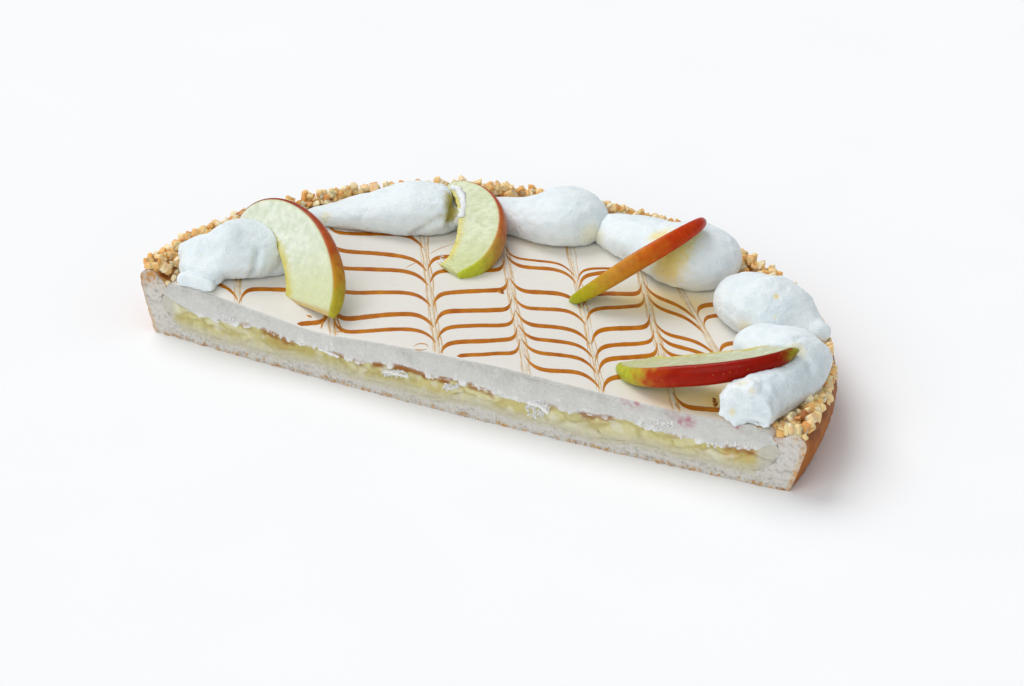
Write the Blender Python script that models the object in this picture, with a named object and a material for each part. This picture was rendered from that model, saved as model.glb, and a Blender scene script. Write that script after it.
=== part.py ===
# Half of a caramel apple flan: a crust shell with a nut rim, apple filling, a cream layer,
# six piped creams and four apple slices. Metres, +Z up. The origin is on the flat underside,
# in the middle of the half. Places are given in millimetres from the middle of the whole flan,
# x along the cut and y into the flan, and one function turns them into metres.
import math
import random

import bmesh
import bpy
from mathutils import Euler, Vector
from mathutils.bvhtree import BVHTree

MM = 0.001
CUT_BEHIND_ORIGIN = 66.0
GAP = 0.32

# The shell: radii, heights, and the bow of the cut with the depth in which it dies out
BASE_RADIUS = 134.2
RIM_RADIUS = 140.2
RIM_CREST_RADIUS = 135.4
RIM_LOW = 23.4
RIM_HIGH = 27.2
FLOOR_THICKNESS = 5.5
FLOOR_RADIUS = 123.0
WALL_INNER_RADIUS = 130.3
WALL_MIDDLE = 14.0
LIP_INNER_RADIUS = 127.8
LIP_INNER_HEIGHT = 20.6
CUT_BOW = 4.5
BOW_DEPTH = 70.0
RINGS = (0, 18, 36, 54, 72, 90, 106, 116)
UNDERSIDE_RINGS = (100, 66, 33, 0)
TURN_STEPS = 34

# The layers, and the filling's edge where it climbs the wall
FILLING_TOP = 13.4
FILLING_EDGE = ((122.5, 14.8), (126.8, 17.6))
CREAM_TOP = 22.9

# The nut band on the rim
NUT_SEED = 11
NUT_ROWS = ((130.6, 1.0), (134.0, 1.3), (137.8, 1.3))
NUTS_PER_ROW = 66
NUT_RADIUS = (1.7, 2.9)
NUT_CLEARANCE = 0.4

# The piped creams: (x, y, half width, height) from the tail to the fat end
CREAMS = {
    "whipped_cream_1": {
        "body": [(-119.5, 20, 12.5, 11.5), (-113.5, 22.5, 16, 18), (-107, 25.5, 15.5, 18)],
        "lobes": [
            [(-118, 13, 10, 10), (-115, 5, 8.5, 7), (-114, -3, 8, 5.5)],
            [(-103, 28.5, 7.5, 9), (-97, 28.5, 7, 8)],
        ],
        "knife": True,
    },
    "whipped_cream_2": {
        "body": [
            (-103, 75, 5, 5.5), (-97, 77.5, 7.5, 8), (-84, 84, 11.5, 11.5), (-70, 90.5, 15.5, 15.5),
            (-63, 93.5, 15, 15),
        ],
        "lobes": [],
        "knife": False,
    },
    "whipped_cream_3": {
        "body": [
            (-36, 105.5, 9.5, 10.5), (-26, 106.5, 11, 12), (-14, 109, 17, 17.5), (-10, 110, 17, 17.5),
        ],
        "lobes": [],
        "knife": False,
    },
    "whipped_cream_4": {
        "body": [
            (12, 112.5, 9.5, 11), (20, 110, 12, 12.5), (33, 106, 13.5, 14.5), (46, 101.5, 18, 19),
            (51.5, 99.5, 18, 19.5),
        ],
        "lobes": [],
        "knife": False,
    },
    "whipped_cream_5": {
        "body": [(86, 77, 15, 17), (93, 74, 17, 19), (104, 73, 14, 15), (113, 71, 7, 8)],
        "lobes": [],
        "knife": False,
    },
    "whipped_cream_6": {
        "body": [
            (104, 47, 12, 14), (116, 43, 15, 18), (121, 28, 13, 18), (118, 12, 11, 16.5),
            (115.5, -10, 10.5, 14.5),
        ],
        "lobes": [],
        "knife": True,
    },
}
CREAM_STEPS = 13
CREAM_SIDES = 14

# The apple slices: where the two tips of the outline lie, which way it bulges, its size, how the
# thickness grows from the first tip to the second (its two values, and 1 for evenly or more for
# late), and the bite that the core left, as its two corners from the middle and how far it arches
SLICES = {
    "apple_slice_1": {
        "tips": ((-120, 42, 34), (-54.5, 2, 25)), "bulge": (0.37, 0.46, 0.81), "width": 22.5,
        "thickness": 8.5, "swell": (0.3, 1.15, 2.0), "bite": ((-30, -2), (9.5, -8.2)), "arch": 8.2,
    },
    "apple_slice_2": {
        "tips": ((-60, 106, 36), (-28.5, 55, 26)), "bulge": (0.83, 0.53, 0.1), "width": 21.0,
        "thickness": 9.5, "swell": (0.9, 1.1, 1.0), "bite": ((-27, -3), (21, -7)), "arch": 7.0,
    },
    "apple_slice_3": {
        "tips": ((17.5, 58, 26), (54.5, 102, 49)), "bulge": (0.42, -0.80, 0.43), "width": 20.0,
        "thickness": 7.5, "swell": (1.0, 1.0, 1.0), "bite": ((-20, -6), (20, -6)), "arch": 8.0,
    },
    "apple_slice_4": {
        "tips": ((57, 19.5, 27), (125, 28.5, 44)), "bulge": (0.47, -0.91, 0.17), "width": 22.5,
        "thickness": 8.5, "swell": (1.0, 1.0, 1.0), "bite": ((-20, -6), (20, -6)), "arch": 8.0,
    },
}
SLICE_STEPS = 14

COLOURS = {
    "crust": (0.72, 0.50, 0.26),
    "apple_filling": (0.86, 0.76, 0.36),
    "cream_layer": (0.88, 0.85, 0.77),
    "whipped_cream": (0.92, 0.94, 0.94),
    "apple_slice": (0.80, 0.84, 0.48),
}


def clear_scene():
    for thing in list(bpy.context.scene.objects):
        bpy.data.objects.remove(thing, do_unlink=True)


def place(x, y, z):
    """Millimetres from the middle of the whole flan to metres in the part's frame."""
    return Vector((x * MM, (y - CUT_BEHIND_ORIGIN) * MM, z * MM))


def blend(value, start, end):
    """A smooth rise from 0 at start to 1 at end."""
    t = min(1.0, max(0.0, (value - start) / (end - start)))
    return t * t * (3 - 2 * t)


def hump(x, y, cx, cy, reach):
    return math.exp(-((x - cx) ** 2 + (y - cy) ** 2) / (reach * reach))


def rim_height(angle):
    turn = math.degrees(angle)
    rise = RIM_LOW + (RIM_HIGH - RIM_LOW) * blend(turn, 85, 145)
    return rise + 0.35 * math.sin(7 * angle) + 0.25 * math.sin(13 * angle + 1)


def wall_shift(angle):
    """How far the wall stands in or out of its circle."""
    return 0.5 * math.sin(5 * angle + 0.6) + 0.35 * math.sin(11 * angle)


def floor_height(x, y):
    fade = 1 - blend(math.hypot(x, y), 96, 116)
    wave = 0.7 * math.sin(x / 12.0 + 0.4) + 0.5 * math.sin(x / 5.3 + y / 9.0)
    return FLOOR_THICKNESS + fade * wave


def filling_height(x, y):
    fade = 1 - blend(math.hypot(x, y), 100, 118)
    wave = 0.9 * math.sin(x / 12.5 + 2.2) + 0.6 * math.sin(x / 5.0 - y / 11.0)
    return FILLING_TOP + fade * wave


def cream_height(x, y):
    dip = -3.3 * hump(x, y, -60, -6, 26)
    rise = 1.5 * hump(x, y, 28, -4, 34)
    return CREAM_TOP + dip + rise + 0.9 * hump(x, y, -114, 0, 20)


def ground_height(x, y):
    """The height of what a topping lies on: the cream layer, or the rim round it."""
    radius = math.hypot(x, y)
    top = rim_height(math.atan2(max(y, 0.0), x))
    if radius <= LIP_INNER_RADIUS:
        return max(cream_height(x, y), LIP_INNER_HEIGHT * blend(radius, 120, LIP_INNER_RADIUS))
    rise = (top - LIP_INNER_HEIGHT) * blend(radius, LIP_INNER_RADIUS - 2, RIM_CREST_RADIUS - 0.4)
    return max(CREAM_TOP, LIP_INNER_HEIGHT + rise)


def bowed(x, y):
    """The knife's line bows out a little in the middle of the cut."""
    bow = CUT_BOW * (1 - (x / BASE_RADIUS) ** 2)
    return y - max(0.0, bow) * max(0.0, 1 - y / BOW_DEPTH)


def make_material(name, colour, roughness):
    material = bpy.data.materials.new(name)
    material.use_nodes = True
    shader = material.node_tree.nodes["Principled BSDF"]
    shader.inputs["Base Color"].default_value = (*colour, 1.0)
    shader.inputs["Roughness"].default_value = roughness
    shader.inputs["Metallic"].default_value = 0.0
    return material


def make_object(name, mesh_data, material=None):
    mesh = bpy.data.meshes.new(name)
    mesh_data.to_mesh(mesh)
    mesh_data.free()
    thing = bpy.data.objects.new(name, mesh)
    bpy.context.scene.collection.objects.link(thing)
    if material:
        mesh.materials.append(material)
    mesh.shade_smooth()
    mesh.set_sharp_from_angle(angle=math.radians(40))
    return thing


def face_out(mesh_data):
    bmesh.ops.recalc_face_normals(mesh_data, faces=mesh_data.faces)
    if mesh_data.calc_volume(signed=True) < 0:
        bmesh.ops.reverse_faces(mesh_data, faces=mesh_data.faces)


def half_turn(name, profile, material):
    """Sweep a profile, from the axis out and back to it, round half a circle."""
    mesh_data = bmesh.new()
    columns = []
    axis = None
    for step in range(TURN_STEPS + 1):
        angle = math.pi * step / TURN_STEPS
        points = profile(angle)
        column = []
        for index, (radius, height) in enumerate(points):
            at_axis = index in (0, len(points) - 1)
            if at_axis and axis:
                column.append(axis[0] if index == 0 else axis[1])
                continue
            x = radius * math.cos(angle)
            y = radius * math.sin(angle)
            column.append(mesh_data.verts.new((x, y, height)))
        if axis is None:
            axis = (column[0], column[-1])
        columns.append(column)
    for left, right in zip(columns, columns[1:]):
        for i in range(len(left) - 1):
            corners = [left[i], left[i + 1], right[i + 1], right[i]]
            corners = [c for k, c in enumerate(corners) if c not in corners[:k]]
            mesh_data.faces.new(corners)
    mesh_data.faces.new(columns[0])
    mesh_data.faces.new(list(reversed(columns[-1])))
    mesh_data.normal_update()
    bmesh.ops.triangulate(mesh_data, faces=mesh_data.faces)
    for vert in mesh_data.verts:
        x, y, z = vert.co
        vert.co = place(x, bowed(x, y), z)
    face_out(mesh_data)
    return make_object(name, mesh_data, material)


def ring_points(angle, height, lift=0.0):
    return [(r, height(r * math.cos(angle), r * math.sin(angle)) + lift) for r in RINGS]


def crust_profile(angle):
    top = rim_height(angle)
    shift = wall_shift(angle)
    wall = WALL_INNER_RADIUS
    rim = RIM_RADIUS + shift
    points = ring_points(angle, floor_height)
    points += [(FLOOR_RADIUS, FLOOR_THICKNESS + 0.7), (wall - 2.7, WALL_MIDDLE - 4.4), (wall, WALL_MIDDLE)]
    points += [(wall - 0.7, WALL_MIDDLE + 4), (LIP_INNER_RADIUS, LIP_INNER_HEIGHT)]
    points += [(LIP_INNER_RADIUS + 3.6, top - 2.3), (RIM_CREST_RADIUS + shift, top)]
    points += [(rim - 1.6, top - 1.3), (rim, top - 4.4), (rim - 1.6, 13.0), (rim - 3.4, 7.0)]
    points += [(BASE_RADIUS + 0.9, 1.4), (BASE_RADIUS, 0.0)]
    points += [(r, 0.0) for r in UNDERSIDE_RINGS]
    return points


def filling_profile(angle):
    wall = WALL_INNER_RADIUS - 0.45
    points = ring_points(angle, filling_height)
    points += list(FILLING_EDGE)
    points += [(wall - 0.85, WALL_MIDDLE + 3.4), (wall, WALL_MIDDLE), (wall - 2.75, WALL_MIDDLE - 4.1)]
    points += [(FLOOR_RADIUS - 0.2, FLOOR_THICKNESS + 1.15)]
    points += list(reversed(ring_points(angle, floor_height, GAP)))
    return points


def cream_profile(angle):
    lip = LIP_INNER_RADIUS - 0.6
    points = ring_points(angle, cream_height)
    points += [(FLOOR_RADIUS, CREAM_TOP - 0.2), (lip - 0.6, CREAM_TOP - 1.3), (lip, LIP_INNER_HEIGHT - 0.1)]
    points += [(lip + 1.7, LIP_INNER_HEIGHT - 2.5)]
    points += [(radius - 0.25, height + GAP + 0.1) for radius, height in reversed(FILLING_EDGE)]
    points += list(reversed(ring_points(angle, filling_height, GAP)))
    return points


def smooth_path(stations, steps):
    """Evenly spaced stations on a smooth curve through the given ones."""
    points = [Vector(s) for s in stations]
    points = [points[0] * 2 - points[1]] + points + [points[-1] * 2 - points[-2]]
    fine = []
    for i in range(1, len(points) - 2):
        a, b, c, d = points[i - 1:i + 3]
        for k in range(12):
            t = k / 12
            fine.append(0.5 * ((2 * b) + (c - a) * t + (2 * a - 5 * b + 4 * c - d) * t ** 2
                               + (3 * b - a - 3 * c + d) * t ** 3))
    fine.append(points[-2])
    lengths = [0.0]
    for a, b in zip(fine, fine[1:]):
        lengths.append(lengths[-1] + (b.xy - a.xy).length)
    total = lengths[-1]
    result = []
    for k in range(steps + 1):
        target = total * 0.5 * (1 - math.cos(math.pi * k / steps))
        j = max(i for i in range(len(fine) - 1) if lengths[i] <= target + 1e-9)
        share = (target - lengths[j]) / (lengths[j + 1] - lengths[j])
        result.append((fine[j].lerp(fine[j + 1], share), target, total))
    return result


def cream_mesh(stations, grow=0.0):
    """A piped blob: a dome section along a path, round at both ends and flat underneath."""
    first, last = Vector(stations[0]), Vector(stations[-1])
    head = (first.xy - Vector(stations[1]).xy).normalized() * first.z
    tail = (last.xy - Vector(stations[-2]).xy).normalized() * last.z
    ends = [(first.x + head.x, first.y + head.y, first.z, first.w)]
    ends.append((last.x + tail.x, last.y + tail.y, last.z, last.w))
    path = smooth_path([ends[0]] + [tuple(s) for s in stations] + [ends[1]], CREAM_STEPS)
    mesh_data = bmesh.new()
    rings = []
    for k, (station, run, total) in enumerate(path):
        before = path[max(0, k - 1)][0].xy
        after = path[min(len(path) - 1, k + 1)][0].xy
        along = (after - before).normalized()
        side = Vector((-along.y, along.x))
        near_start = min(1.0, run / max(first.z, 0.1))
        near_end = min(1.0, (total - run) / max(last.z, 0.1))
        cap = math.sqrt(max(0.0, 1 - (1 - near_start) ** 2)) * math.sqrt(max(0.0, 1 - (1 - near_end) ** 2))
        width = station.z * cap + grow
        base = ground_height(station.x, station.y)
        middle = base + 0.40 * station.w
        rise = 0.60 * station.w * cap + grow
        if k in (0, len(path) - 1):
            width = 0.0
            rise = 0.0
            reach = grow if k else -grow
            station = station.copy()
            station.x += along.x * reach
            station.y += along.y * reach
        ring = []
        for j in range(CREAM_SIDES):
            turn = 2 * math.pi * j / CREAM_SIDES
            x = station.x + side.x * width * math.cos(turn)
            y = station.y + side.y * width * math.cos(turn)
            z = max(middle + rise * math.sin(turn), ground_height(x, y) + GAP - grow)
            ring.append(Vector((x, y, z)))
            if width == 0.0:
                break
        rings.append([mesh_data.verts.new(place(*point)) for point in ring])
    for left, right in zip(rings, rings[1:]):
        for j in range(CREAM_SIDES):
            corners = [left[j % len(left)], left[(j + 1) % len(left)]]
            corners += [right[(j + 1) % len(right)], right[j % len(right)]]
            corners = [c for k, c in enumerate(corners) if c not in corners[:k]]
            mesh_data.faces.new(corners)
    mesh_data.normal_update()
    bmesh.ops.triangulate(mesh_data, faces=mesh_data.faces)
    face_out(mesh_data)
    return mesh_data


def slice_axes(spec):
    start, end = Vector(spec["tips"][0]), Vector(spec["tips"][1])
    along = (end - start).normalized()
    bulge = Vector(spec["bulge"])
    bulge = (bulge - along * bulge.dot(along)).normalized()
    return (start + end) / 2, along, bulge, along.cross(bulge), (end - start).length / 2


def slice_mesh(spec, grow=0.0):
    """A wedge of apple: a round skin edge, two flat flesh faces and a bite where the core was."""
    middle, along, bulge, across, half = slice_axes(spec)
    width = spec["width"]
    thick = spec["thickness"] / 2
    thin, full, lateness = spec["swell"]
    mesh_data = bmesh.new()
    rings = []
    for k in range(SLICE_STEPS + 1):
        turn = math.pi * (k / SLICE_STEPS - 0.5)
        outer = Vector(((half + grow) * math.sin(turn), (width + grow) * math.cos(turn)))
        way = (1 + math.sin(turn)) / 2
        corner = Vector(spec["bite"][0]).lerp(Vector(spec["bite"][1]), way)
        taper = (0.42 + 0.58 * math.cos(turn)) * (thin + (full - thin) * way ** lateness)
        inner = Vector((corner.x, corner.y + spec["arch"] * math.cos(turn) - 2.5 * grow))
        ring = []
        for share, spread in ((0, 0.42), (0.45, 0.72), (0.86, 0.96), (0.97, 0.66), (1, 0),
                              (0.97, -0.66), (0.86, -0.96), (0.45, -0.72), (0, -0.42)):
            flat = inner.lerp(outer, share)
            offset = spread * thick * taper + math.copysign(grow, spread) * (spread != 0)
            point = middle + along * flat.x + bulge * flat.y + across * offset
            ring.append(mesh_data.verts.new(place(*point)))
        rings.append(ring)
    count = len(rings[0])
    for left, right in zip(rings, rings[1:]):
        for j in range(count):
            mesh_data.faces.new([left[j], left[(j + 1) % count], right[(j + 1) % count], right[j]])
    mesh_data.faces.new(rings[0])
    mesh_data.faces.new(list(reversed(rings[-1])))
    mesh_data.normal_update()
    bmesh.ops.triangulate(mesh_data, faces=mesh_data.faces)
    face_out(mesh_data)
    return mesh_data


def lift_clear(spec):
    """Raise or lower a slice until its lowest place just clears what is under it."""
    mesh_data = slice_mesh(spec)
    lift = -100.0
    for vert in mesh_data.verts:
        x = vert.co.x / MM
        y = vert.co.y / MM + CUT_BEHIND_ORIGIN
        lift = max(lift, ground_height(x, y) + GAP - vert.co.z / MM)
    mesh_data.free()
    start, end = spec["tips"]
    lifted = ((start[0], start[1], start[2] + lift), (end[0], end[1], end[2] + lift))
    return {**spec, "tips": lifted}


def apply_boolean(target, others, operation, solver):
    """Join or cut with everything in a collection, then remove the collection's objects."""
    tools = bpy.data.collections.new("tools")
    bpy.context.scene.collection.children.link(tools)
    for other in others:
        bpy.context.scene.collection.objects.unlink(other)
        tools.objects.link(other)
        other.hide_render = True
        other.display_type = "WIRE"
    modifier = target.modifiers.new("boolean", "BOOLEAN")
    modifier.operation = operation
    modifier.solver = solver
    modifier.operand_type = "COLLECTION"
    modifier.collection = tools
    evaluated = target.evaluated_get(bpy.context.evaluated_depsgraph_get())
    result = bpy.data.meshes.new_from_object(evaluated)
    result.name = target.name
    target.modifiers.remove(modifier)
    target.data = result
    for other in others:
        bpy.data.objects.remove(other, do_unlink=True)
    bpy.data.collections.remove(tools)
    tidy_mesh(target)


def tidy_mesh(thing):
    """Weld slivers, keep the largest body and triangulate."""
    mesh_data = bmesh.new()
    mesh_data.from_mesh(thing.data)
    bmesh.ops.remove_doubles(mesh_data, verts=mesh_data.verts, dist=0.000004)
    bmesh.ops.dissolve_degenerate(mesh_data, edges=mesh_data.edges, dist=0.000002)
    left = set(mesh_data.faces)
    shells = []
    while left:
        stack = [left.pop()]
        shell = []
        while stack:
            face = stack.pop()
            shell.append(face)
            for edge in face.edges:
                for other in edge.link_faces:
                    if other in left:
                        left.remove(other)
                        stack.append(other)
        shells.append(shell)
    shells.sort(key=len, reverse=True)
    for shell in shells[1:]:
        bmesh.ops.delete(mesh_data, geom=shell, context="FACES")
    loose = [v for v in mesh_data.verts if not v.link_faces]
    bmesh.ops.delete(mesh_data, geom=loose, context="VERTS")
    bmesh.ops.triangulate(mesh_data, faces=mesh_data.faces)
    mesh_data.to_mesh(thing.data)
    mesh_data.free()
    thing.data.shade_smooth()
    thing.data.set_sharp_from_angle(angle=math.radians(40))


def knife_block():
    """What the knife took away in front of the cut, where creams reach past it."""
    mesh_data = bmesh.new()
    bmesh.ops.create_cube(mesh_data, size=1.0)
    for vert in mesh_data.verts:
        vert.co = place(vert.co.x * 320, -1.2 - 30 + vert.co.y * 60, 30 + vert.co.z * 80)
    return make_object("knife", mesh_data)


def build_slices():
    specs = {name: lift_clear(spec) for name, spec in SLICES.items()}
    material = make_material("apple_slice", COLOURS["apple_slice"], 0.35)
    for name, spec in specs.items():
        make_object(name, slice_mesh(spec), material)
    return specs


def build_creams(slices):
    """Each cream gives way to the slices and to the creams piped in front of it."""
    in_front = {
        "whipped_cream_1": [], "whipped_cream_2": [], "whipped_cream_3": [],
        "whipped_cream_4": ["whipped_cream_3", "whipped_cream_5"],
        "whipped_cream_5": ["whipped_cream_6"], "whipped_cream_6": [],
    }
    material = make_material("whipped_cream", COLOURS["whipped_cream"], 0.6)
    for name, spec in CREAMS.items():
        cream = make_object(name, cream_mesh(spec["body"]), material)
        if spec["lobes"]:
            lobes = [make_object("lobe", cream_mesh(lobe)) for lobe in spec["lobes"]]
            apply_boolean(cream, lobes, "UNION", "EXACT")
        cutters = [make_object("cutter", cream_mesh(CREAMS[other]["body"], GAP)) for other in in_front[name]]
        cutters += [make_object("cutter", slice_mesh(s, GAP)) for s in slices.values()]
        if spec["knife"]:
            cutters.append(knife_block())
        for cutter in cutters:
            apply_boolean(cream, [cutter], "DIFFERENCE", "EXACT")


def nut_mesh(rng, centre, radius):
    mesh_data = bmesh.new()
    bmesh.ops.create_icosphere(mesh_data, subdivisions=1, radius=radius)
    turn = Euler([rng.uniform(0, math.tau) for _ in range(3)]).to_matrix()
    squash = Vector((rng.uniform(0.8, 1.25), rng.uniform(0.7, 1.0), rng.uniform(0.6, 0.9)))
    for vert in mesh_data.verts:
        shaped = Vector((vert.co.x * squash.x, vert.co.y * squash.y, vert.co.z * squash.z))
        shaped *= rng.uniform(0.8, 1.12)
        vert.co = place(*(centre + turn @ shaped))
    face_out(mesh_data)
    return mesh_data


def touches(mesh_data, tree):
    own = BVHTree.FromBMesh(mesh_data)
    if own.overlap(tree):
        return True
    for vert in mesh_data.verts:
        distance = tree.find_nearest(vert.co)[3]
        above = tree.ray_cast(vert.co, Vector((0, 0, 1)))[1]
        inside = above is not None and above.z > 0
        if distance < NUT_CLEARANCE * MM or inside:
            return True
    return False


def build_nuts(crust):
    """Rows of chopped nuts round the rim, fused to it and clear of the creams and slices."""
    rng = random.Random(NUT_SEED)
    graph = bpy.context.evaluated_depsgraph_get()
    names = list(CREAMS) + list(SLICES) + ["cream_layer"]
    trees = [BVHTree.FromObject(bpy.data.objects[name], graph) for name in names]
    nuts = []
    for row, (radius, spread) in enumerate(NUT_ROWS):
        for k in range(NUTS_PER_ROW):
            angle = math.pi * (k + 0.5 + 0.33 * row + rng.uniform(-0.3, 0.3)) / (NUTS_PER_ROW + 1)
            distance = radius + rng.uniform(-spread, spread)
            size = rng.uniform(*NUT_RADIUS)
            x = distance * math.cos(angle)
            y = distance * math.sin(angle)
            height = ground_height(x, y) + size * rng.uniform(0.15, 0.5) - max(0.0, distance - 137) * 0.8
            mesh_data = nut_mesh(rng, Vector((x, y, height)), size)
            if any(touches(mesh_data, tree) for tree in trees):
                mesh_data.free()
                continue
            nuts.append(make_object("nut", mesh_data))
    apply_boolean(crust, nuts, "UNION", "MANIFOLD")


def build():
    clear_scene()
    crust = half_turn("crust", crust_profile, make_material("crust", COLOURS["crust"], 0.7))
    apple = make_material("apple_filling", COLOURS["apple_filling"], 0.35)
    half_turn("apple_filling", filling_profile, apple)
    half_turn("cream_layer", cream_profile, make_material("cream_layer", COLOURS["cream_layer"], 0.45))
    slices = build_slices()
    build_creams(slices)
    build_nuts(crust)


build()
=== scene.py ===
# Half of a caramel apple flan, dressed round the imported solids.
# Places are in millimetres from the middle of the whole flan, x along the cut and y into the flan.
import math
import random

import bmesh
import bpy
import numpy as np
from mathutils import Euler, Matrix, Vector, kdtree, noise
from mathutils.bvhtree import BVHTree
from mathutils.geometry import delaunay_2d_cdt


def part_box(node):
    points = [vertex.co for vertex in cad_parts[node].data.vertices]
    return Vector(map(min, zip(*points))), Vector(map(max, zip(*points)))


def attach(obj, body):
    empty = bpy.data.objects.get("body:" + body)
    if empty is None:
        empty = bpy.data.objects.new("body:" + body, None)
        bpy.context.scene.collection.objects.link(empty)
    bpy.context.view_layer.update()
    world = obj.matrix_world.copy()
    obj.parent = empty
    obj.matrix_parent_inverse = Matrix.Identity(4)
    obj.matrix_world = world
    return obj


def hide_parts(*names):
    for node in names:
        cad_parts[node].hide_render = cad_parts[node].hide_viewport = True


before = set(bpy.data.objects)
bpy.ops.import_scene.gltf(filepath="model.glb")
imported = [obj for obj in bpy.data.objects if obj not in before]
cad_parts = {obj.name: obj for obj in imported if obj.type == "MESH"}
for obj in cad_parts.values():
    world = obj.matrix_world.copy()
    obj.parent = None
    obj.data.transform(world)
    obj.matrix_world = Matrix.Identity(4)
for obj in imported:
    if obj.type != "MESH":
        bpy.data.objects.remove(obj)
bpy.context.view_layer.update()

mm = 0.001
cutBehindOrigin = 66.0  # the origin's distance behind the cut

flan = {
    "rimRadius": 140.2,
    "crestRadius": 135.4,
    "baseRadius": 134.2,
    "rimLow": 23.4,
    "rimHigh": 27.2,
    "flatRadius": 116,  # as far as the layers lie flat
    "floor": 5.5,
    "floorRadius": 123.0,
    "wallInner": 130.3,
    "wallMiddle": 14.0,
    "lipRadius": 127.8,
    "lipHeight": 20.6,
    "fillingTop": 13.4,
    "creamTop": 22.9,
    "cutBow": 4.5,
    "bowDepth": 70.0,
}

layerMesh = {
    "ringStep": 1.1,  # between points along a layer's outline
    "turnSteps": 150,
    "slabRows": (0.0, 0.3, 0.8, 1.6, 3.0),  # rows just behind the cut
    "cutStep": 0.5,  # between points inside the cut face
    "cutFade": 1.4,  # how far behind the cut its looks fade out
}

studio = {
    "picture": (1024, 686),
    "azimuth": 27.258,
    "elevation": 28.0,
    "target": (11.603, 22.142, 20.0),
    "distance": 1204.46,
    "lens": 112.5,
    "sensor": 36.0,
    "floorSide": 8.0,
    "airTone": "#F4F8FC",
    "airStrength": 0.48,
}


def linear(hexText):  # an sRGB hex colour as Blender's linear colour
    parts = [int(hexText[i:i + 2], 16) / 255 for i in (1, 3, 5)]
    return tuple(c / 12.92 if c <= 0.04045 else ((c + 0.055) / 1.055) ** 2.4 for c in parts)


def asColour(colour):  # a hex colour as an array that can be mixed; an array stays as it is
    return np.array(linear(colour)) if isinstance(colour, str) else colour


def between(first, second, share):
    return first + (second - first) * share


def mixColours(first, second, shares):  # with one share for each point of a mesh
    return between(asColour(first), asColour(second), np.asarray(shares)[:, None])


def place(x, y, z):  # the flan's millimetres as metres in the frame
    return Vector((x * mm, (y - cutBehindOrigin) * mm, z * mm))


def flanPoint(point):  # and back
    return Vector((point[0] / mm, point[1] / mm + cutBehindOrigin, point[2] / mm))


def blend(value, start, end):
    t = min(1.0, max(0.0, (value - start) / (end - start)))
    return t * t * (3 - 2 * t)


def ramp(values, start, end):  # the same smooth rise for a whole array
    t = np.clip((values - start) / (end - start), 0, 1)
    return t * t * (3 - 2 * t)


def hump(x, y, cx, cy, reach):
    return math.exp(-((x - cx) ** 2 + (y - cy) ** 2) / (reach * reach))


def cloud(points, size, seed=0):  # soft noise, about -1 to 1, with lumps of that many mm
    shift = Vector((seed * 7.31, seed * 3.17, seed * 5.53))
    return np.array([noise.noise(Vector(p) / size + shift) for p in points])


def warped(points, size, seed, amount):  # the points pushed about by soft noise
    return points + amount * np.stack([cloud(points, size, seed + k) for k in range(3)], axis=1)


def heightsAt(surface, points):
    return np.array([surface(x, y) for x, y in points[:, :2]])


# The flan's surfaces, as in the solids

def rimHeight(angle):
    turn = math.degrees(angle)
    rise = flan["rimLow"] + (flan["rimHigh"] - flan["rimLow"]) * blend(turn, 85, 145)
    return rise + 0.35 * math.sin(7 * angle) + 0.25 * math.sin(13 * angle + 1)


def wallShift(angle):
    return 0.5 * math.sin(5 * angle + 0.6) + 0.35 * math.sin(11 * angle)


def floorHeight(x, y):
    fade = 1 - blend(math.hypot(x, y), 96, 116)
    return flan["floor"] + fade * (0.7 * math.sin(x / 12.0 + 0.4) + 0.5 * math.sin(x / 5.3 + y / 9.0))


def fillingHeight(x, y):
    fade = 1 - blend(math.hypot(x, y), 100, 118)
    wave = 0.9 * math.sin(x / 12.5 + 2.2) + 0.6 * math.sin(x / 5.0 - y / 11.0)
    return flan["fillingTop"] + fade * wave


def creamHeight(x, y):
    dip = -3.3 * hump(x, y, -60, -6, 26)
    return flan["creamTop"] + dip + 1.5 * hump(x, y, 28, -4, 34) + 0.9 * hump(x, y, -114, 0, 20)


def bowed(x, y):
    bow = flan["cutBow"] * (1 - (x / flan["baseRadius"]) ** 2)
    return y - max(0.0, bow) * max(0.0, 1 - y / flan["bowDepth"])


# Mesh helpers

def link(name, data):
    item = bpy.data.objects.new(name, data)
    bpy.context.scene.collection.objects.link(item)
    return item


def smoothed(mesh, angle):  # smooth shading, with an edge where faces meet more sharply than that
    mesh.shade_smooth()
    mesh.set_sharp_from_angle(angle=math.radians(angle))
    return mesh


def closedMesh(name, meshData, angle=60):
    mesh = bpy.data.meshes.new(name)
    bmesh.ops.recalc_face_normals(meshData, faces=meshData.faces)
    if meshData.calc_volume(signed=True) < 0:
        bmesh.ops.reverse_faces(meshData, faces=meshData.faces)
    meshData.to_mesh(mesh)
    meshData.free()
    return smoothed(mesh, angle)


def listedMesh(name, vertices, faces, angle=180):
    mesh = bpy.data.meshes.new(name)
    mesh.from_pydata(vertices, [], faces)
    mesh.update()
    return smoothed(mesh, angle)


def addPiece(name, mesh, colours, wet, looks, slot, *nodes):
    # the mesh painted with a colour for each vertex and its wetness as alpha, and told to the frame
    piece = link(name, mesh)
    layer = mesh.color_attributes.new("paint", "FLOAT_COLOR", "POINT")
    values = np.ones((len(mesh.vertices), 4))
    values[:, :3] = np.clip(colours, 0, 1)
    values[:, 3] = wet
    layer.data.foreach_set("color", values.ravel())
    for look in looks:
        mesh.materials.append(finishes[look])
    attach(piece, "root")
    if nodes:
        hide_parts(*nodes)
    print(name, len(mesh.polygons), "faces")
    return piece


def addShape(vertices, faces, colours, points, pointFaces, tones):  # one more shape in a mesh's lists
    start = len(vertices)
    vertices += points
    colours += tones
    faces += [tuple(start + i for i in face) for face in pointFaces]


def stepCounts(corners, step):  # how many points each side of an outline gets
    return [max(1, round(math.dist(a, b) / step)) for a, b in zip(corners, corners[1:])]


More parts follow.
